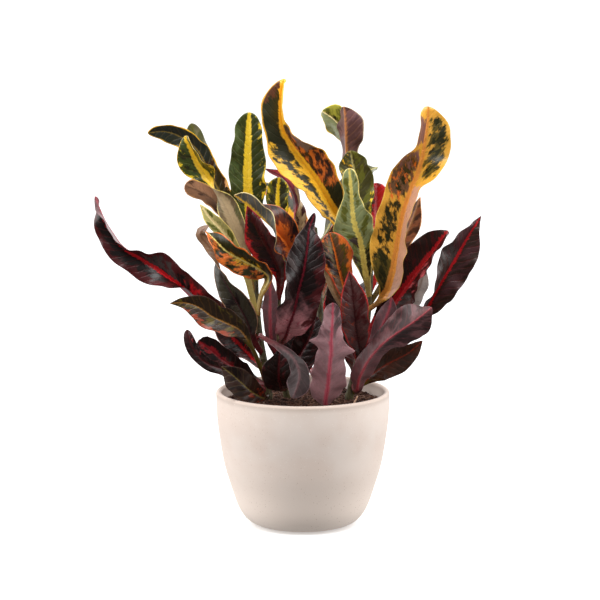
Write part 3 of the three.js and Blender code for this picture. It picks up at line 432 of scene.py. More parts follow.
# What sets single leaves apart from their kind. "rim_back" is the margin seen
# from below, "ragged" how far the midrib's edge frays, "ruffle" how far the
# margin waves, in radians, "cup" how far each half curls, in degrees, and
# "lobes" where the margin swells or narrows on a side, by how much and over
# what share of the length.
LOOKS = {
    "sweeping": dict(
        rib_width=2.6, rim_width=0.9,
        # The smoky grey spots on the right half are a painted sheen.
        spots=[(SMOKE, 0.45, 14, "right"), (CRIMSON, 0.9, 9, "right edge", 0.34, 0.46),
               (WINE, 0.5, 8, "edge")],
    ),
    "amber": dict(
        face=(46, 31, 18), foot=UMBER, rib=(150, 102, 40), rib_width=0.7, rim=UMBER,
        spots=[(OLIVE, 0.3, 10, ""), ((150, 58, 26), 0.35, 5, "edge left", 0.5, 0.95)],
    ),
    "claw": dict(rib=WINE, spots=[(RUBY, 0.3, 6, "right", 0.75, 1), (PLUM, 0.4, 12, "")]),
    "red_blaze": dict(
        rib_width=1.4, foot=NIGHT, rib=RUBY,
        spots=[(WINE, 0.3, 9, "rib"), ((160, 26, 36), 0.3, 7, "rib", 0.4, 1)],
    ),
    "slate": dict(
        face=(58, 52, 38), foot=SMOKE, rib=PLUM, rib_width=0.8, rim=(176, 128, 96), rim_width=0.9,
        spots=[(NIGHT, 0.4, 12, ""), (TAN, 1.2, 9, "", 0.8, 1)], back=(142, 106, 78), back_rib=(120, 76, 52),
    ),
    "ember_wave": dict(
        face=FOREST, foot=FOREST, rib=STRAW, rib_width=1.1, rim=ORANGE, rim_width=1.2,
        spots=[(ORANGE, 0.55, 9, "left", 0.45, 1), (GOLD, 0.35, 8, "rib", 0.25, 0.8),
               (FOREST, 0.45, 8, "left")],
    ),
    "lime_twist": dict(
        face=(64, 76, 26), rib_width=5.6, ragged=0.5, rib=(250, 204, 50), rim=GOLD, back=(122, 102, 72),
        back_rib=TAN, rim_back=STRAW, spots=[(FOREST, 0.45, 9, ""), (LEMON, 0.08, 4, "edge")],
    ),
    "arching": dict(
        face=(50, 44, 20), rim=GOLD, rim_width=1.0, rib=(140, 116, 52), rib_width=0.8,
        spots=[(UMBER, 0.4, 10, ""), (PEACH, 0.12, 5, "edge"), ((40, 44, 34), 0.9, 12, "", 0.66, 1)],
    ),
    "grey_tip": dict(back=(132, 126, 92), back_rib=GREEN),
    "blunt_bronze": dict(
        back=(66, 42, 30), back_rib=(110, 78, 54), rim_back=PEACH, rim_width=1.3,
        back_spots=((206, 150, 112), 0.8, 9, 0.8),
    ),
    "upright_green": dict(
        face=(50, 58, 18), rib=(246, 208, 50), rib_width=5, ragged=0.45,
        spots=[((74, 88, 44), 0.55, 12, "left"), (LEMON, 0.05, 5, "edge right"), (LEMON, -0.15, 2, "")],
    ),
    "ember_fold": dict(
        face=(96, 44, 24), back=(96, 92, 84), back_rib=GOLD, rib_width=3.4, rim_back=CREAM,
        back_spots=((66, 72, 64), 0.45, 12, 0.2),
        spots=[(ORANGE, 0.66, 10, "rib"), (NIGHT, 0.4, 10, "edge"), (WINE, 0.4, 9, "left", 0, 0.6)],
    ),
    "crimson_inner": dict(
        face=(66, 16, 20), rib=WINE, rim=RUBY, rim_width=1.3,
        spots=[(NIGHT, 0.5, 12, ""), (CRIMSON, 0.25, 9, "left edge")],
    ),
    "plum": dict(
        # Its pale mauve-rose foot is partly its own colour, partly a painted sheen; the smoky grey spots on
        # its upper left are a painted sheen.
        face=(28, 15, 14), foot=(188, 122, 126), foot_until=0.46, rib=(112, 22, 36),
        spots=[(SMOKE, 0.35, 12, "left", 0.5, 1), (WINE, 0.4, 9, "right edge", 0.35, 0.9),
               ((156, 76, 86), 0.3, 8, "", 0.25, 0.45)],
    ),
    "ember_right": dict(
        face=(98, 70, 44), rib_width=1.4, rim=(196, 72, 34), rim_width=1.5,
        spots=[(OLIVE, 0.4, 9, ""), (ORANGE, 0.4, 7, "edge", 0.6, 1), (NIGHT, 0.6, 8, "left", 0.6, 1)],
    ),
    "tan_narrow": dict(back=(186, 152, 112)),
    "rust_front": dict(
        face=(88, 54, 52), rib=WINE, rib_width=0.7, rim=(176, 40, 36), rim_width=1.3,
        spots=[(WINE, 0.35, 9, ""), (RUST, 0.25, 6, "left", 0.4, 0.9), (NIGHT, 0.6, 10, "", 0, 0.4)],
    ),
    "front_mauve": dict(
        back=(172, 128, 132), back_rib=(190, 66, 86), rib_width=1.8, back_spots=(NIGHT, 0.55, 14, 0.72),
        lobes={1: [(0.66, 0.6, 0.03), (0.57, -0.15, 0.03)], -1: [(0.57, 0.6, 0.035), (0.68, -0.15, 0.03)]},
    ),
    "right_mauve": dict(
        back=(114, 72, 74), back_rib=(166, 48, 60), rib_width=1.2, back_spots=(NIGHT, 0.6, 14, 0.55),
    ),
    "low_bronze": dict(
        face=(76, 40, 24), rib=RUST, rib_width=0.8, rim=UMBER, spots=[(UMBER, 0.5, 12, "")],
    ),
    "red_midrib": dict(
        face=(46, 26, 22), rib=(184, 28, 36), rib_width=4.4, foot_until=0.1,
        spots=[(WINE, 0.3, 9, ""), (ROSE, 0.4, 8, "right", 0.5, 0.8)],
    ),
    "far_right": dict(
        face=(50, 30, 22), rib_width=2.2, foot_until=0.1, rim=PLUM, rim_width=0.9,
        # The smoky grey spots on the left half are a painted sheen.
        spots=[(SMOKE, 0.6, 13, "left"), (PLUM, 0.4, 12, "")],
    ),
    "grey_sliver": dict(back=(168, 158, 150), back_rib=ASH),
    "gold_right": dict(
        face=(226, 166, 58), rib=(226, 150, 62), rib_width=3.4, ragged=0.4, rim=(232, 180, 70), cup=8,
        ruffle=0.15, stalk=(180, 130, 70),
        spots=[(OLIVE, 0.95, 12, "left lane", 0.02, 0.36), (FOREST, 0.45, 7, "left lane", 0.1, 0.72),
               ((110, 78, 52), 0.9, 9, "left lane", 0.6, 0.8), (FOREST, 0.4, 5, "left lane", 0.6, 0.8),
               (ORANGE, 0.3, 5, "left", 0.55, 0.8), (MAUVE, 0.5, 7, "left", 0.7, 0.84),
               # This pale peach patch over the right half is partly the curled half's paler tone, partly a
               # painted highlight.
               ((206, 156, 130), 1.3, 12, "right", 0.1, 0.66), (OLIVE, 0.5, 7, "right lane", 0.68, 0.98),
               (FOREST, 0.4, 5, "right lane", 0.68, 0.98), (MAUVE, 1.2, 9, "left", 0.84, 0.95)],
    ),
    "gold_left": dict(
        rib_width=5.2, ragged=0.5, rim_width=1.3, stalk=MOSS, rim=(240, 176, 50), roughness=0.36,
        ruffle=0.1,
        spots=[(FOREST, 0.95, 12, "left lane", 0.63, 0.95), (FOREST, 0.42, 6, "left lane", 0.2, 0.66),
               (GOLD, 0.3, 6, "left edge", 0.55, 0.78), (FOREST, 1.3, 13, "right lane", 0.1, 0.52),
               (UMBER, 1.1, 10, "right", 0.48, 0.8), (ORANGE, 0.46, 6, "right", 0.42, 0.78),
               # These mauve-grey spots near the right margin are a painted sheen.
               ((124, 98, 92), 0.45, 8, "right edge", 0.62, 0.8),
               ((92, 52, 28), 0.75, 6, "left edge", 0.88, 1), (STRAW, 0.4, 6, "", 0.96, 1),
               (GOLD, -0.1, 2, "left")],
    ),
    "dusky_back": dict(back=(146, 84, 54), back_spots=(NIGHT, 0.6, 7, 0.2), rim_back=PEACH),
    "curl_mauve": dict(
        back=(128, 88, 88), back_rib=(206, 132, 74), rib_width=2.2, rim_back=TAN,
        back_spots=(PLUM, 0.55, 14, 0.3),
    ),
    "curl_green": dict(
        face=(172, 168, 62), foot=SAGE, rib=CREAM, rib_width=1.2, rim=LEMON,
        spots=[(GREEN, 0.6, 10, "lane"), ((112, 116, 78), 0.9, 9, "left"),
               (FOREST, 0.4, 6, "rib right", 0.7, 1)],
    ),
    "lime_back": dict(
        face=BOG, rib=SAGE, rib_width=1.4, rim_width=0.9,
        spots=[(GREEN, 0.4, 10, ""), (GOLD, 0.25, 4, "left", 0.7, 1), (LEMON, 0.1, 4, "right edge", 0, 0.7)],
    ),
    "pale_center": dict(
        face=(140, 148, 100), foot=FOREST, rib_width=2.6, rib=(238, 214, 108),
        lobes={-1: [(0.62, 0.35, 0.05), (0.5, -0.2, 0.05)], 1: [(0.5, 0.2, 0.08)]},
        spots=[(GREEN, 0.3, 9, "lane"), (FOREST, 0.7, 10, "right", 0.1, 0.45),
               (SMOKE, 0.5, 9, "left", 0.3, 0.55)],
    ),
    "pink_tip": dict(
        back=(72, 24, 34), back_rib=(96, 30, 40), veins=0.0, rim_back=WINE,
        back_spots=((236, 84, 116), 1.4, 20, 0.7),
    ),
    "tan_twist": dict(face=PLUM, rib=TAN, spots=[(TAN, 0.45, 6, "")]),
    "crescent": dict(rim=(220, 180, 170), rim_width=0.9, foot_until=0.1),
    "olive_low": dict(
        face=(54, 32, 24), foot=(60, 40, 28), rib=(124, 104, 50), rib_width=0.6, rim=UMBER,
        spots=[(NIGHT, 0.4, 9, ""), (RUST, 0.3, 6, "", 0.3, 0.6)], stalk=UMBER,
    ),
    # Its dark underside is partly painted shade.
    "hanging_mauve": dict(back=(50, 31, 31), back_rib=(88, 54, 56), rim_back=MAUVE, roughness=0.5),
    "low_dark": DEEP_SHADE,
    "black_mid": DEEP_SHADE,
    "deep_shade": DEEP_SHADE,
    "dark_right": DEEP_SHADE,
    "rear_4": dict(rim=UMBER, back=COCOA, back_rib=UMBER, rim_back=UMBER),
    "rear_6": dict(rib=RUST, rim=UMBER, back=COCOA, back_rib=UMBER, rim_back=UMBER),
    "rear_10": dict(face=BOG, rib=SAGE, rib_width=1.4, spots=[(GREEN, 0.4, 10, "")]),
}

# ---- How leaf paint spreads, in millimetres unless it says otherwise ---------
# Scales of the broad and of the fine noise, for each millimetre.
SOFT_SCALE = 0.09
FINE_SCALE = 0.45
VEIN_WANDER = 6
# Where a vein fades, as a share of the spacing, and how much it shows below.
VEIN_FADE = (0.03, 0.14)
VEIN_BELOW = 0.1
# How the midrib's feathering is stretched along and across.
FEATHER_STRETCH = (0.5, 0.12)
RAGGED_START = 1.5
RIB_FADE = (-0.6, 0.4)
RIB_FADE_BELOW = (-1.2, 0.8)
RIB_BELOW = 0.85
RIM_WANDER = 2.5
# Where the margin's paint begins and is full, as shares of its width.
RIM_FADE = (1.3, 0.4)
FOOT_WANDER = 0.3
# Half the share of the length over which the foot, spots and back fade.
FOOT_FADE = 0.1
REACH_FADE = 0.05
# Noise makes spots where it is above a level that falls with their cover.
SPOT_GRAIN = 0.9
SPOT_SEED_STEP = 11
SPOT_COVER = 0.35
SPOT_FADE = (-0.05, 0.06)
SPOT_FADE_BELOW = (-0.05, 0.08)
SPOTS_BELOW = 0.75
# How spots lean towards margin or midrib (slope and start), and to a side.
LEAN_OUT = {"edge": (0.4, -0.24), "rib": (-0.4, 0.12)}
LEAN_ASIDE = {"left": 0.04, "right": -0.04}
# A lane lies halfway between midrib and margin.
LANE_SLOPE = (-0.3, 0.08)
OUT_OF_REACH = -0.5
# The underside's darker tone, as a share of its colour.
DUSK_BELOW = 0.8
# The stalk's paint ends between these half widths and shares of the length.
STALK_WIDTHS = (4.5, 2.0)
STALK_SHARES = (0.6, 0.4)
# Dark mottling all over: its strength and its start.
MOTTLE = (0.6, 0.02)
LEAF_BUMP = 0.25
LEAF_GLOSS = {"Specular IOR Level": 0.4, "Coat Weight": 0.2, "Coat Roughness": 0.25}
LEAF_ROUGHNESS = 0.2
ROUGHNESS_RANGE = 0.2
ROUGHER_BELOW = 0.12

# ---- Paints and levels of the pot, soil and shoots ---------------------------
# The third paint is painted light on the lower pot, the fourth painted shade on the lip.
CLAY, CLAY_CLOUD, CLAY_LOW_PAINTED_LIGHT, CLAY_LIP_PAINTED_SHADE = (232, 218, 208), (226, 208, 196), (252, 235, 222), (200, 182, 170)
DARK_SPECK, PALE_SPECK = (196, 172, 152), (246, 236, 228)
# Heights in metres between which the painted light on the lower pot and the painted shade on the lip set in.
CLAY_LOW_LIGHT_AT = (0.075, 0.01)
CLAY_LIP_SHADE_AT = (0.1025, 0.108)
PEAT, DRY_PEAT, COIR = (44, 26, 21), (88, 56, 44), (118, 84, 66)
BARK, PALE_BARK, BARK_DOT = (50, 44, 28), (88, 82, 50), (168, 158, 120)
BARK_STRETCH = 0.15

# ---- Camera, lights and stage, in metres -------------------------------------
CAMERA_PLACE = (-0.0023, -2.0, 0.498)
CAMERA_DIP = 8.97
CAMERA_LENS = 151.62
CAMERA_SENSOR = 36
# Softboxes: place, aim, width and height, and power in watts.
LIGHTS = {
    "left_box": ((-1.35, -0.25, 0.65), (0, 0, 0.2), (1.4, 1.6), 20),
    "right_box": ((1.35, -0.1, 0.65), (0, 0, 0.2), (1.4, 1.6), 16),
    "top_box": ((0.1, -0.75, 1.6), (0, 0, 0.25), (1.6, 1.0), 22),
}
# How the studio's white brightens towards the back and towards the top:
# from and to this share of the way, and the light at both ends.
WORLD_BACK = (-0.6, 0.6, 0.5, 1.5)
WORLD_TOP = (-0.6, 0.5, 0.45, 1.05)
# Reflections see this power of that light, so they have more contrast.
WORLD_GLOSS_CONTRAST = 2.0
WHITE = (1, 1, 1, 1)
FLOOR_SIZE = 60
FLOOR_WHITES = ((0.93, 0.93, 0.93, 1), (0.95, 0.95, 0.95, 1))
FLOOR_SHEEN = {"Specular IOR Level": 0.1, "Emission Color": WHITE, "Emission Strength": 0.2}
FLOOR_ROUGHNESS = 0.8


# ---- Materials ---------------------------------------------------------------
def linear(colour):
    """Display red, green and blue from 0 to 255 as a linear RGBA colour."""
    shares = [value / 255 for value in colour]
    return [v / 12.92 if v <= 0.04045 else ((v + 0.055) / 1.055) ** 2.4 for v in shares] + [1]


class Nodes:
    """A node tree, built up one step at a time."""

    def __init__(self, tree):
        self.tree = tree

    def put(self, socket, value):
        """Feeds a socket with another one, a plain value or a paint."""
        if isinstance(value, bpy.types.NodeSocket):
            self.tree.links.new(value, socket)
        elif socket.type == "RGBA" and len(value) == 3:
            socket.default_value = linear(value)
        else:
            socket.default_value = value

    def node(self, kind, inputs=(), **settings):
        """A new node with these settings, and inputs fed by name or number."""
        node = self.tree.nodes.new(f"ShaderNode{kind}")
        for key, value in settings.items():
            setattr(node, key, value)
        for key, value in dict(inputs).items():
            self.put(node.inputs[key], value)
        return node

    def sum(self, operation, *values, clamp=False):
        """The result of one sum on numbers or sockets."""
        return self.node("Math", enumerate(values), operation=operation, use_clamp=clamp).outputs[0]

    def off(self, noise, middle, scale, start=0.0):
        """Noise that swings both ways: scaled about its middle, from a start."""
        swing = self.sum("SUBTRACT", noise, middle)
        return self.sum("MULTIPLY_ADD", swing, scale, start)

    def step(self, value, low, high, dim=0.0, bright=1.0):
        """Dim below low, bright above high and a smooth rise between them."""
        inputs = {"Value": value, "From Min": low, "From Max": high, "To Min": dim, "To Max": bright}
        return self.node("MapRange", inputs, interpolation_type="SMOOTHSTEP").outputs[0]

    def mix(self, share, first, second):
        """A colour between two paints or colour sockets."""
        inputs = {"Factor": share, "A": first, "B": second}
        return self.node("Mix", inputs, data_type="RGBA").outputs["Result"]

    def vector(self, x, y, z):
        return self.node("CombineXYZ", enumerate((x, y, z))).outputs[0]

    def split(self, vector):
        return self.node("SeparateXYZ", {0: vector}).outputs


class Recipe(Nodes):
    """A material's node tree, which ends in a Principled shader."""

    def __init__(self, name, constants):
        self.material = bpy.data.materials.new(name)
        self.material.use_nodes = True
        super().__init__(self.material.node_tree)
        self.shader = self.tree.nodes["Principled BSDF"]
        for key, value in constants.items():
            self.put(self.shader.inputs[key], value)

    def attribute(self, name):
        """The three numbers of a mesh attribute."""
        return self.split(self.node("Attribute", attribute_name=name).outputs["Vector"])

    def place(self, shift=0.0):
        """Where a point lies on the piece, moved by an equal shift on each axis."""
        place = self.node("TexCoord").outputs["Object"]
        if shift:
            place = self.node("VectorMath", {0: place, 1: [shift] * 3}, operation="ADD").outputs[0]
        return place

    def noise(self, vector, scale, detail=3.0, roughness=0.55):
        inputs = {"Vector": vector, "Scale": scale, "Detail": detail, "Roughness": roughness}
        return self.node("TexNoise", inputs).outputs["Fac"]

    def specks(self, vector, scale, low, high):
        """Round specks, one to a cell, whose edge fades between two distances from its middle."""
        cells = self.node("TexVoronoi", {"Vector": vector, "Scale": scale})
        return self.step(cells.outputs["Distance"], high, low)

    def bump(self, height, distance):
        """Bump from a height of 0 to 1 that stands for a distance in millimetres."""
        bump = self.node("Bump", {"Strength": 1.0, "Distance": distance * MM, "Height": height})
        self.put(self.shader.inputs["Normal"], bump.outputs[0])

    def finish(self, colour, roughness):
        self.put(self.shader.inputs["Base Color"], colour)
        self.put(self.shader.inputs["Roughness"], roughness)
        return self.material


def gathering(r, where, share, side, from_midrib, start=0, end=1):
    """How much likelier a spot is, by the words that say where spots gather."""
    total = 0.0
    for word in where.split():
        if word == "lane":
            middle = r.sum("MULTIPLY_ADD", from_midrib, 2, -1)
            leaning = r.sum("MULTIPLY_ADD", r.sum("MULTIPLY", middle, middle), *LANE_SLOPE)
        elif word in LEAN_OUT:
            leaning = r.sum("MULTIPLY_ADD", from_midrib, *LEAN_OUT[word])
        else:
            fade = LEAN_ASIDE[word]
            leaning = r.sum("MULTIPLY", r.step(side, -fade, fade), -1)
        total = r.sum("ADD", leaning, total)
    if start > 0:
        before = r.step(share, start + REACH_FADE, start - REACH_FADE)
        total = r.sum("MULTIPLY_ADD", before, OUT_OF_REACH, total)
    if end < 1:
        beyond = r.step(share, end - REACH_FADE, end + REACH_FADE)
        total = r.sum("MULTIPLY_ADD", beyond, OUT_OF_REACH, total)
    return total


def spots(r, pattern, cover, fade):
    """1 where a pattern of noise is above the level that gives this cover."""
    level = 0.5 + SPOT_COVER * (0.5 - cover)
    return r.step(pattern, level + fade[0], level + fade[1])


def blade_material(name, look, seed):
    """A croton blade: veined and blotched above, plainer and duller below."""
    r = Recipe(name, LEAF_GLOSS)
    along, across, upper = r.attribute("blade_mm")
    share, side, half_width = r.attribute("blade_share")
    out = r.sum("ABSOLUTE", across)
    from_midrib = r.sum("ABSOLUTE", side)
    soft = r.noise(r.vector(along, across, seed), SOFT_SCALE)
    fine = r.noise(r.vector(along, across, seed + 3), FINE_SCALE)

    # Veins, rim and midrib
    slanted = r.sum("MULTIPLY_ADD", out, -VEIN_SLANT, along)
    vein_place = r.off(soft, 0.5, VEIN_WANDER, slanted)
    turns = r.sum("FRACT", r.sum("DIVIDE", vein_place, VEIN_SPACING))
    from_vein = r.sum("ABSOLUTE", r.sum("SUBTRACT", turns, 0.5))
    veins = r.step(from_vein, *VEIN_FADE, 1, 0)
    from_edge = r.sum("MULTIPLY", r.sum("SUBTRACT", 1, from_midrib), half_width)
    ragged_edge = r.off(soft, 0.45, RIM_WANDER, from_edge)
    rim = r.step(ragged_edge, *[look["rim_width"] * width for width in RIM_FADE])
    stretched = [r.sum("MULTIPLY", *pair) for pair in zip((vein_place, across), FEATHER_STRETCH)]
    feather = r.noise(r.vector(*stretched, seed), 1)
    narrowing = r.sum("POWER", r.sum("SUBTRACT", 1.02, share, clamp=True), 0.4)
    rib_width = r.sum("MULTIPLY", narrowing, look["rib_width"])
    raggedness = look.get("ragged", 1) * (RAGGED_START + look["rib_width"])
    within_rib = r.sum("SUBTRACT", rib_width, r.off(feather, 0.5, raggedness, out))

    # Upper side
    foot_end = look["foot_until"]
    ragged_share = r.off(soft, 0.5, FOOT_WANDER, share)
    beyond_foot = r.step(ragged_share, foot_end - FOOT_FADE, foot_end + FOOT_FADE)
    face = r.mix(beyond_foot, look["foot"], look["face"])
    for index, (paint, cover, size, where, *reach) in enumerate(look["spots"]):
        grain = [r.sum("MULTIPLY", place, SPOT_GRAIN / size) for place in (vein_place, across)]
        spot_seed = seed + SPOT_SEED_STEP * (index + 1)
        patch = r.noise(r.vector(*grain, spot_seed), 1, detail=5, roughness=0.62)
        patch = r.sum("ADD", patch, gathering(r, where, share, side, from_midrib, *reach))
        face = r.mix(spots(r, patch, cover, SPOT_FADE), face, paint)
    face = r.mix(r.sum("MULTIPLY", veins, look["veins"]), face, look["rib"])
    face = r.mix(r.step(within_rib, *RIB_FADE), face, look["rib"])
    face = r.mix(rim, face, look["rim"])

    # Underside
    back = r.mix(r.step(soft, 0.35, 0.7), look["back"], [v * DUSK_BELOW for v in look["back"]])
    if "back_spots" in look:
        paint, cover, size, start = look["back_spots"]
        grain = [r.sum("DIVIDE", place, size) for place in (vein_place, across)]
        patch = spots(r, r.noise(r.vector(*grain, seed + 5), 1, detail=4), cover, SPOT_FADE_BELOW)
        patch = r.sum("MULTIPLY", patch, r.step(share, start - FOOT_FADE, start + FOOT_FADE))
        back = r.mix(r.sum("MULTIPLY", patch, SPOTS_BELOW), back, paint)
    back = r.mix(r.sum("MULTIPLY", veins, VEIN_BELOW), back, look["back_rib"])
    back_rib = r.step(within_rib, *RIB_FADE_BELOW)
    back = r.mix(r.sum("MULTIPLY", back_rib, RIB_BELOW), back, look["back_rib"])
    if "rim_back" in look:
        back = r.mix(rim, back, look["rim_back"])

    # Both sides
    colour = r.mix(r.step(upper, -0.2, 0.2), back, face)
    narrow = r.sum("MULTIPLY", r.step(half_width, *STALK_WIDTHS), r.step(share, *STALK_SHARES))
    colour = r.mix(narrow, colour, look["stalk"])
    strength, start = MOTTLE
    mottle = r.sum("MULTIPLY_ADD", r.sum("SUBTRACT", fine, 0.5), strength, start, clamp=True)
    colour = r.mix(mottle, colour, NIGHT)
    r.bump(r.sum("MULTIPLY_ADD", fine, 0.5, r.sum("MULTIPLY", veins, -0.5)), LEAF_BUMP)
    polish = r.sum("MULTIPLY_ADD", soft, ROUGHNESS_RANGE, look.get("roughness", LEAF_ROUGHNESS))
    return r.finish(colour, r.sum("MULTIPLY_ADD", r.step(upper, 0.2, -0.2), ROUGHER_BELOW, polish))


def clay_material():
    """Matte pressed stoneware with fine pale and dark specks, painted light low down and painted shade on the
    lip.
    """
    r = Recipe("clay_speckled", {"Specular IOR Level": 0.35})
    place = r.place()
    cloud = r.noise(place, 28, detail=4)
    height = r.split(place)[2]
    tone = r.mix(r.step(cloud, 0.3, 0.7), CLAY, CLAY_CLOUD)
    # Painted light: the lower pot turns paler.
    tone = r.mix(r.step(height, *CLAY_LOW_LIGHT_AT), tone, CLAY_LOW_PAINTED_LIGHT)
    # Painted shade: the lip turns darker.
    tone = r.mix(r.step(height, *CLAY_LIP_SHADE_AT), tone, CLAY_LIP_PAINTED_SHADE)
    dark_specks = r.sum("MULTIPLY", r.specks(place, 420, 0.08, 0.16), r.step(cloud, 0.42, 0.6))
    tone = r.mix(dark_specks, tone, DARK_SPECK)
    pale_specks = r.sum("MULTIPLY", r.specks(r.place(shift=7.3), 300, 0.07, 0.15), 0.5)
    tone = r.mix(pale_specks, tone, PALE_SPECK)
    r.bump(r.noise(place, 900), 0.05)
    return r.finish(tone, r.sum("MULTIPLY_ADD", cloud, 0.15, 0.5))


def soil_material():
    """Damp peat and coir: dark brown, redder and paler from crumb to crumb."""
    r = Recipe("soil_peat", {"Specular IOR Level": 0.25})
    place = r.place()
    tone = r.mix(r.step(r.noise(place, 160, detail=4), 0.35, 0.65), PEAT, DRY_PEAT)
    tone = r.mix(r.step(r.noise(place, 420), 0.6, 0.72), tone, COIR)
    r.bump(r.noise(place, 700, detail=4), 0.5)
    return r.finish(tone, 0.9)


def fibre_material(name, pale, dark):
    """Dry plant fibre, darker in places."""
    r = Recipe(name, {"Specular IOR Level": 0.3})
    place = r.place()
    tone = r.mix(r.step(r.noise(place, 250, detail=4), 0.35, 0.65), dark, pale)
    r.bump(r.noise(place, 900), 0.15)
    return r.finish(tone, 0.75)


def bark_material():
    """Young croton bark: olive, with grey-brown streaks up the shoot and pale dots."""
    r = Recipe("bark_olive", {"Specular IOR Level": 0.4})
    place = r.place()
    x, y, z = r.split(place)
    streaks = r.noise(r.vector(x, y, r.sum("MULTIPLY", z, BARK_STRETCH)), 600, detail=4)
    tone = r.mix(r.step(streaks, 0.38, 0.62), BARK, PALE_BARK)
    dots = r.sum("MULTIPLY", r.specks(place, 500, 0.08, 0.16), 0.6)
    tone = r.mix(dots, tone, BARK_DOT)
    r.bump(streaks, 0.3)
    return r.finish(tone, 0.55)


# ---- Meshes ------------------------------------------------------------------
def add_object(name, data, place=(0, 0, 0), turn=(0, 0, 0)):
    """An object of this data in the scene."""
    added = bpy.data.objects.new(name, data)
    added.location = place
    added.rotation_euler = turn
    bpy.context.scene.collection.objects.link(added)
    return added


def add_piece(name, points, faces, material, replaces=(), attributes=()):
    """A smooth mesh piece of the plant, from points in millimetres."""
    mesh = bpy.data.meshes.new(name)
    mesh.from_pydata((np.asarray(points) * MM).tolist(), [], faces)
    mesh.polygons.foreach_set("use_smooth", [True] * len(mesh.polygons))
    for key, values in dict(attributes).items():
        layer = mesh.attributes.new(key, "FLOAT_VECTOR", "POINT")
        layer.data.foreach_set("vector", np.asarray(values, dtype=np.float32).ravel())
    mesh.materials.append(material)
    mesh.update()
    piece = add_object(name, mesh)
    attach(piece, "root")
    if replaces:
        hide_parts(*replaces)


def turns(count):
    """Evenly spaced angles round a full turn."""
    return [math.tau * i / count for i in range(count)]


def skin_faces(rows, count, start=0):
    """Faces over rings of count points, closed by the two points that follow the rings."""
    ends = start + rows * count
    last = ends - count
    pairs = [(i, (i + 1) % count) for i in range(count)]
    faces = [(ring + i, ring + j, ring + count + j, ring + count + i)
             for ring in range(start, last, count) for i, j in pairs]
    for i, j in pairs:
        faces += [(ends, start + j, start + i), (ends + 1, last + i, last + j)]
    return faces


def curve_at(points, places):
    """A centripetal Catmull-Rom curve through the points, at places counted in points."""
    points = np.asarray(points, float)
    last = len(points) - 1
    found = []
    for place in places:
        i = min(int(place), last - 1)
        t = place - i
        p1, p2 = points[i], points[i + 1]
        p0 = points[i - 1] if i > 0 else 2 * points[0] - points[1]
        p3 = points[i + 2] if i + 2 <= last else 2 * points[-1] - points[-2]
        d0, d1, d2 = (
            max(np.linalg.norm(b - a) ** 0.5, 1e-4) for a, b in ((p0, p1), (p1, p2), (p2, p3))
        )
        m1 = ((p1 - p0) / d0 - (p2 - p0) / (d0 + d1) + (p2 - p1) / d1) * d1
        m2 = ((p2 - p1) / d1 - (p3 - p1) / (d1 + d2) + (p3 - p2) / d2) * d1
        found.append(p1 + m1 * t + (3 * (p2 - p1) - 2 * m1 - m2) * t**2 + (2 * (p1 - p2) + m1 + m2) * t**3)
    return np.array(found)


def places_at(points, shares):
    """The curve's length and its places at shares of that length."""
    dense = np.linspace(0, len(points) - 1, 40 * (len(points) - 1) + 1)
    steps = np.linalg.norm(np.diff(curve_at(points, dense), axis=0), axis=1)
    reached = np.concatenate([[0], np.cumsum(steps)])
    return reached[-1], np.interp(np.asarray(shares) * reached[-1], reached, dense)


def ease(values, places):
    """A row of values read at places between them, easing from one to the next."""
    values = np.asarray(values, float)
    slopes = np.gradient(values)
    i = np.minimum(np.floor(places).astype(int), len(values) - 2)
    t = places - i
    rise = values[i + 1] - values[i]
    curve = (slopes[i] + slopes[i + 1] - 2 * rise) * t + 3 * rise - 2 * slopes[i] - slopes[i + 1]
    return values[i] + (slopes[i] + curve * t) * t


def smoothstep(values, low, high):
    t = np.clip((values - low) / (high - low), 0, 1)
    return t * t * (3 - 2 * t)


def unit(vectors):
    return vectors / np.linalg.norm(vectors, axis=-1, keepdims=True)


def shoot_at(shoot, shares):
    """The middles of a shoot and its radii at shares of its length."""
    radii = SHOOT_BASE_RADIUS + (SHOOT_TIP_RADIUS - SHOOT_BASE_RADIUS) * np.asarray(shares)
    return curve_at(SHOOTS[shoot], places_at(SHOOTS[shoot], shares)[1]), radii


def stalk_start(shoot, height, target):
    """Where a stalk heading for the target leaves its shoot, a little inside the bark."""
    middles, radii = shoot_at(shoot, np.linspace(0, 1, 400))
    index = int(np.argmin(np.abs(middles[:, 2] - height)))
    away = np.asarray(target, float) - middles[index]
    away[2] = 0
    return middles[index] + unit(away) * max(radii[index] - STALK_SINKS_IN, 0)


def row_shares(rough_length, taper):
    """Shares of the length at which rows stand, which crowd towards the end."""
    rows = int(min(max(rough_length / ROW_LENGTH, FEWEST_ROWS), MOST_ROWS))
    shares = np.linspace(0, 1, rows + 1)
    tip_rows = shares > 1 - taper
    squeezed = (shares[tip_rows] - 1 + taper) / taper
    shares[tip_rows] = 1 - taper * (1 - np.sin(squeezed * math.pi / 2))
    return shares


def blade_frame(route, shares, reference):
    """Length and places of the rows, and the midrib's points, the way across and the
    way that the upper side faces there. It faces the reference where the roll is 0."""
    points = [step[:3] for step in route]
    length, places = places_at(points, shares)
    middle = curve_at(points, places)
    ahead = curve_at(points, np.minimum(places + 0.002, len(points) - 1))
    behind = curve_at(points, np.maximum(places - 0.002, 0))
    along = unit(ahead - behind)
    across = unit(np.cross(along, reference))
    roll = np.radians(ease([step[4] for step in route], places))[:, None]
    across = across * np.cos(roll) + np.cross(along, across) * np.sin(roll)
    return length, places, middle, across, np.cross(across, along)


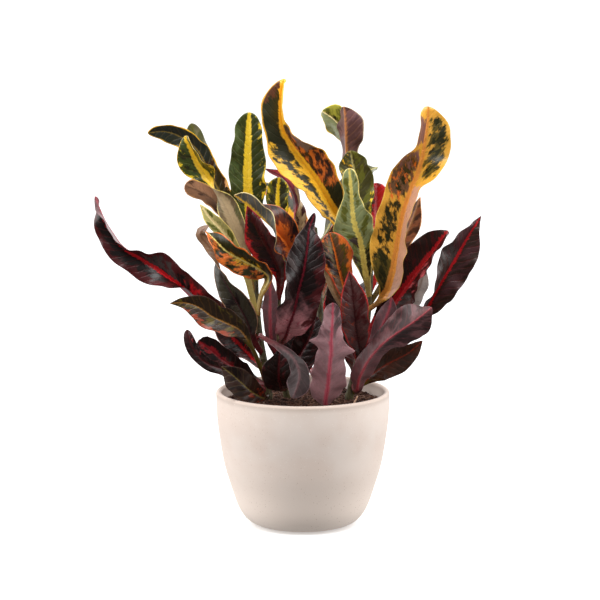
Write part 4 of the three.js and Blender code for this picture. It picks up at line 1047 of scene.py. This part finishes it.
def folded_half(draw, look, sign, shares, reached, width, flat, bend, cup):
    """How far out and up each column of half a blade lies, with its waves and lobes."""
    wave_length = draw.uniform(*WAVE_LENGTHS)
    wave_start = draw.uniform(0, math.tau)
    short_start = draw.uniform(0, math.tau)
    wave = np.sin(math.tau * reached / wave_length + wave_start)
    wave += 0.5 * np.sin(math.tau * reached / (SHORT_WAVE * wave_length) + short_start)
    edge = 1 + MARGIN_DEPTH * np.sin(math.tau * reached / (MARGIN_WAVE * wave_length) + short_start)
    for where, by, spread in look.get("lobes", {}).get(sign, []):
        edge += by * np.exp(-(((shares - where) / spread) ** 2))
    half = {}
    lateral, lift, before = 0, 0, 0
    for column in HALF_COLUMNS:
        middle_of = (column + before) / 2
        curl = cup * (2 * middle_of - 1) + look.get("ruffle", RUFFLE) * wave * middle_of**2
        angle = flat * (bend + curl)
        lateral = lateral + (column - before) * np.cos(angle) * width * edge
        lift = lift + (column - before) * np.sin(angle) * width
        before = column
        half[column] = (lateral, lift)
    return half


def make_leaf(name, shoot, height, kind, end, roll, fold, route, reference, seed):
    """A leaf: rings of points round stalk and blade, row by row from foot to tip."""
    draw = random.Random(seed)
    look = KINDS[kind] | LOOKS.get(name, {})
    route = [[*step, *[roll, fold][len(step) - 4:]] for step in route]
    if shoot != "soil":
        start = stalk_start(shoot, height, route[0][:3])
        route.insert(0, [*start, PETIOLE_HALF_WIDTH * STALK_FOOT, *route[0][4:]])
    taper = LEAF_TAPER[end]
    shares = row_shares(places_at([step[:3] for step in route], [0, 1])[0], taper)
    length, places, middle, across, up = blade_frame(route, shares, reference)

    left = np.minimum((1 - shares) / taper, 1)
    width = ease([step[3] for step in route], places) * np.sqrt(1 - (1 - left) ** 2)
    width = np.maximum(width, TIP_HALF_WIDTH)
    flat = smoothstep(width, PETIOLE_HALF_WIDTH, BLADE_STARTS_AT)
    stalk = np.where(shares < STALK_ENDS_BY, 1 - flat, 0)
    reached = shares * length
    thick = BLADE_HALF_THICKNESS + (PETIOLE_HALF_THICKNESS - BLADE_HALF_THICKNESS) * stalk
    thick = np.minimum(thick, width)
    cup = math.radians(look.get("cup", draw.uniform(*CUPS)))
    bend = np.radians(ease([step[5] for step in route], places))
    halves = {
        sign: folded_half(draw, look, sign, shares, reached, width, flat, bend, cup) for sign in (-1, 1)
    }

    def surface(sign, column, face):
        """One column's points on the upper face, 1, or the lower one, -1."""
        lateral, lift = halves[sign][column]
        out = column * width
        vein = np.cos(math.tau * (reached - VEIN_SLANT * out) / VEIN_SPACING)
        relief = VEIN_RELIEF * flat * vein * 4 * column * (1 - column)
        body = thick * np.sqrt(np.maximum(1 - column ** (2 + 8 * flat), 0))
        if face > 0:
            height_over = body - GROOVE_DEPTH * flat * np.exp(-((out / GROOVE_HALF_WIDTH) ** 2))
        else:
            fading = np.sqrt(np.maximum(1 - shares, 0))
            height_over = -body - RIB_DEPTH * flat * fading * np.exp(-((out / RIB_HALF_WIDTH) ** 2))
        lifted = lift + relief + height_over
        return middle + across * (lateral * sign)[:, None] + up * lifted[:, None]

    columns = [(-1, c) for c in HALF_COLUMNS[::-1]] + [(1, c) for c in HALF_COLUMNS[1:]]
    ring = [(sign, c, 1) for sign, c in columns] + [(sign, c, -1) for sign, c in columns[-2:0:-1]]
    points = np.stack([surface(*spot) for spot in ring], axis=1)
    upper = np.array([0 if c == 1 else face for sign, c, face in ring])
    sides = np.array([sign * c for sign, c, face in ring])

    def listed(*values):
        """Three values for each point, ring after ring, and then for the two ends."""
        grid = np.stack(np.broadcast_arrays(*values), axis=2)
        return np.vstack([grid.reshape(-1, 3), grid[0, :1], grid[-1, :1]])

    millimetres = listed(reached[:, None], sides * width[:, None], upper)
    in_shares = listed(shares[:, None], sides, width[:, None])
    points = np.vstack([points.reshape(-1, 3), points[[0, -1]].mean(axis=1)])
    add_piece(
        f"{name}_blade", points, skin_faces(len(shares), len(ring)),
        blade_material(f"blade_{name}", look, seed), [f"leaf_{name}"],
        {"blade_mm": millimetres, "blade_share": in_shares},
    )


def make_rear_leaf(index, seed):
    """A leaf of the guessed rear half: it arches up and out from the rear shoot."""
    share = index / (len(REAR_SPREADS) - 1)
    height = REAR_LOWEST_NODE + REAR_NODE_STEP * index
    heading = math.radians(90 + REAR_SPREADS[index])
    outward = np.array([math.cos(heading), math.sin(heading), 0])
    reach = REAR_REACH[0] + (REAR_REACH[1] - REAR_REACH[0]) * share
    climb = REAR_CLIMB[0] + (REAR_CLIMB[1] - REAR_CLIMB[0]) * share
    route = []
    for out, rise, width in REAR_ARCH:
        place = np.array([*REAR_START, height + rise * climb]) + outward * out * reach
        roll = REAR_ROLL * math.sin(2 * index + 3 * out)
        route.append([*place, width * REAR_HALF_WIDTH, roll])
    kind = REAR_KINDS[int(share * (len(REAR_KINDS) - 1))]
    reference = np.array([0, 0, 1]) - outward
    make_leaf(f"rear_{index + 1}", "rear", height, kind, "point", 0, REAR_FOLD, route, reference, seed)


def make_shoot(name, material):
    """A shoot with swollen nodes, where leaves grow or have dropped."""
    shares = np.linspace(0, 1, SHOOT_ROWS)
    middles, radii = shoot_at(name, shares)
    nodes = shares * places_at(SHOOTS[name], [0, 1])[0] / NODE_SPACING
    draw = random.Random(name)
    starts = [draw.uniform(0, math.tau) for _ in range(MOST_NODES)]
    points = []
    for middle, radius, node in zip(middles, radii, nodes):
        near = 1 - 2 * abs(node % 1 - 0.5)
        for angle in turns(SHOOT_SIDES):
            scar = max(0, math.cos(angle - starts[int(node)])) ** 3 * smoothstep(near, 0.5, 1)
            swell = 1 + LEAF_SCAR * scar + SHOOT_RIDGES * math.sin(3 * angle + node)
            points.append(middle + radius * swell * np.array([math.cos(angle), math.sin(angle), 0]))
    sunk = np.array([0, 0, -SHOOT_SINKS_IN])
    points[:SHOOT_SIDES] = [point + sunk for point in points[:SHOOT_SIDES]]
    points += [middles[0] + sunk, middles[-1] + [0, 0, SHOOT_TIP]]
    faces = skin_faces(SHOOT_ROWS, SHOOT_SIDES)
    add_piece(f"{name}_stem", points, faces, material, [f"shoot_{name}"])


def make_pot():
    """The pot's wall as smooth curves through the CAD outline, with its round lip."""
    def smooth(points, steps):
        flat = [[*point, 0] for point in points]
        return curve_at(flat, np.linspace(0, len(points) - 1, steps))[:, :2].tolist()

    lip = POT_WALL / 2
    middle = POT_OUTER[-1][0] - lip
    arc = [
        [middle + lip * math.cos(a), POT_HEIGHT - lip + lip * math.sin(a)]
        for a in np.linspace(0, math.pi, LIP_STEPS)[1:-1]
    ]
    outline = [*POT_FOOT, *smooth(POT_OUTER, OUTER_STEPS), *arc, *smooth(POT_INNER, INNER_STEPS)]
    points = []
    for radius, height in outline:
        for angle in turns(POT_FACETS):
            wide = radius * (1 + POT_WOBBLE * math.sin(3 * angle + height / 30))
            points.append([wide * math.cos(angle), wide * math.sin(angle), height])
    points += [[0, 0, 0], [0, 0, POT_FLOOR]]
    add_piece("pot_body", points, skin_faces(len(outline), POT_FACETS), clay_material(), ["pot"])


def soil_height(radius):
    return float(np.interp(radius, *zip(*SOIL_TOP)))


def make_soil():
    """The bed of soil, lumpy on top, with loose crumbs and fibres on it."""
    material = soil_material()
    draw = random.Random(SOIL_SEED)
    waves = [
        (draw.uniform(*LUMP_FREQUENCIES), draw.uniform(*LUMP_ANGLES), draw.uniform(*LUMP_ANGLES))
        for _ in range(LUMP_WAVES)
    ]

    def surface(x, y):
        lumps = sum(math.sin(f * (x * math.cos(d) + y * math.sin(d)) + p) for f, d, p in waves)
        return soil_height(math.hypot(x, y)) + lumps / LUMP_WAVES_PER_MM

    points = []
    for ring in range(1, SOIL_RINGS + 1):
        radius = SOIL_TOP[-1][0] * ring / SOIL_RINGS
        for angle in turns(SOIL_SPOKES):
            x, y = radius * math.cos(angle), radius * math.sin(angle)
            points.append([x, y, surface(x, y) + draw.uniform(-SOIL_GRAIN, SOIL_GRAIN)])
    for radius, height in SOIL_SIDE:
        points += [[radius * math.cos(a), radius * math.sin(a), height] for a in turns(SOIL_SPOKES)]
    points += [[0, 0, soil_height(0)], [0, 0, SOIL_SIDE[-1][1]]]
    # These rings run outwards before they run down, so each face is turned over.
    faces = skin_faces(SOIL_RINGS + len(SOIL_SIDE), SOIL_SPOKES)
    faces = [(face[0], *face[:0:-1]) for face in faces]
    add_piece("soil_bed", points, faces, material, ["potting_soil"])

    corners = unit(np.array(CRUMB_CORNERS))
    points, faces = [], []
    for _ in range(CRUMBS):
        radius = CRUMBS_REACH * math.sqrt(draw.random())
        angle = draw.uniform(0, math.tau)
        x, y = radius * math.cos(angle), radius * math.sin(angle)
        size = SMALLEST_CRUMB + CRUMB_RANGE * draw.random() ** CRUMB_RARITY
        centre = np.array([x, y, surface(x, y) + size * CRUMB_RISE])
        turn = draw.uniform(0, math.tau)
        c, s = math.cos(turn), math.sin(turn)
        faces += [tuple(len(points) + k for k in face) for face in CRUMB_FACES]
        for corner in corners:
            p = corner * [draw.uniform(*CRUMB_STRETCH) for _ in range(3)] * size
            points.append(centre + [p[0] * c - p[1] * s, p[0] * s + p[1] * c, p[2] * CRUMB_FLATNESS])
    add_piece("soil_crumbs", points, faces, material)

    for name, strands in STRANDS.items():
        make_strands(name, surface, *strands)
    points, faces = tube(TWIG, *TWIG_RADII, 18, 10)
    add_piece("soil_twig", points, faces, fibre_material("twig_pale", *TWIG_PAINTS))


def tube(route, thick, thin, rows, sides, start=0):
    """A round strand along a curve, thinning towards its end."""
    shares = np.linspace(0, 1, rows)
    middles = curve_at(route, places_at(route, shares)[1])
    along = unit(np.gradient(middles, axis=0))
    across = unit(np.cross(along, [0.31, 0.2, 0.93]))
    up = np.cross(along, across)
    points = []
    for middle, a, u, share in zip(middles, across, up, shares):
        radius = thick + (thin - thick) * share
        points += [middle + radius * (a * math.cos(t) + u * math.sin(t)) for t in turns(sides)]
    points += [middles[0], middles[-1]]
    return points, skin_faces(rows, sides, start)


def make_strands(name, surface, count, lengths, radii, reach, paints):
    """Loose strands that lie over the soil."""
    draw = random.Random(name)
    points, faces = [], []
    for _ in range(count):
        radius = draw.uniform(*reach)
        angle = draw.uniform(0, math.tau)
        x, y = radius * math.cos(angle), radius * math.sin(angle)
        heading = draw.uniform(0, math.tau)
        step = draw.uniform(*lengths) / (STRAND_STEPS - 1)
        route = []
        for _ in range(STRAND_STEPS):
            route.append([x, y, surface(x, y) + draw.uniform(*STRAND_LIFT)])
            heading += draw.uniform(-STRAND_BEND, STRAND_BEND)
            x, y = x + step * math.cos(heading), y + step * math.sin(heading)
            beyond = math.hypot(x, y) / reach[1]
            if beyond > 1:
                x, y = x / beyond, y / beyond
                heading += TURN_AT_RIM
        if np.min(np.linalg.norm(np.diff(route, axis=0), axis=1)) < SHORTEST_STEP:
            continue
        thick = draw.uniform(*radii)
        more, more_faces = tube(route, thick, STRAND_TAPER * thick, 12, 6, len(points))
        faces += more_faces
        points += more
    add_piece(name, points, faces, fibre_material(f"{name}_dry", *paints))


# ---- Stage, lights and camera ------------------------------------------------
def add_floor():
    """A plain pale floor that casts no tint on the plant."""
    bpy.ops.mesh.primitive_plane_add(size=FLOOR_SIZE)
    floor = bpy.context.object
    floor.name = "floor"
    r = Recipe("floor_white", FLOOR_SHEEN)
    tone = r.mix(r.noise(r.place(), 1.5), *FLOOR_WHITES)
    floor.data.materials.append(r.finish(tone, FLOOR_ROUGHNESS))
    floor.visible_diffuse = False
    floor.visible_glossy = False


def add_light(name, place, target, size, power):
    """A softbox that faces its target."""
    data = bpy.data.lights.new(name, "AREA")
    data.shape = "RECTANGLE"
    data.size, data.size_y = size
    data.energy = power
    direction = np.array(target, float) - np.array(place, float)
    yaw = math.atan2(direction[1], direction[0])
    pitch = math.atan2(-direction[2], math.hypot(direction[0], direction[1]))
    add_object(name, data, place, (math.pi / 2 - pitch, 0, yaw - math.pi / 2))


def add_world():
    """A white studio, dimmer in front and below, so that round things keep a darker middle."""
    world = bpy.data.worlds.new("studio")
    bpy.context.scene.world = world
    world.use_nodes = True
    n = Nodes(world.node_tree)
    background = n.tree.nodes["Background"]
    _, y, z = n.split(n.node("TexCoord").outputs["Generated"])
    light = n.sum("MULTIPLY", n.step(y, *WORLD_BACK), n.step(z, *WORLD_TOP))
    seen = n.node("LightPath").outputs
    contrast = n.sum("MULTIPLY_ADD", seen["Is Glossy Ray"], WORLD_GLOSS_CONTRAST - 1, 1)
    choice = {"Factor": seen["Is Camera Ray"], "A": n.sum("POWER", light, contrast), "B": 1}
    n.put(background.inputs["Color"], WHITE)
    n.put(background.inputs["Strength"], n.node("Mix", choice).outputs["Result"])


def add_camera():
    """The camera, level from side to side and dipped, as the photo was taken."""
    data = bpy.data.cameras.new("camera")
    data.lens = CAMERA_LENS
    data.sensor_width = CAMERA_SENSOR
    turn = (math.radians(90 - CAMERA_DIP), 0, 0)
    bpy.context.scene.camera = add_object("camera", data, CAMERA_PLACE, turn)


bpy.context.scene.view_settings.view_transform = "Standard"
add_camera()
add_world()
add_floor()
for light_name, light in LIGHTS.items():
    add_light(light_name, *light)
make_pot()
make_soil()
bark = bark_material()
for shoot_name in SHOOTS:
    make_shoot(shoot_name, bark)
towards_front = np.array([0, -1, 0])
for number, (leaf_name, leaf) in enumerate(LEAVES.items()):
    make_leaf(leaf_name, *leaf, towards_front, number + 1)
for number in range(len(REAR_SPREADS)):
    make_rear_leaf(number, REAR_SEEDS + number)
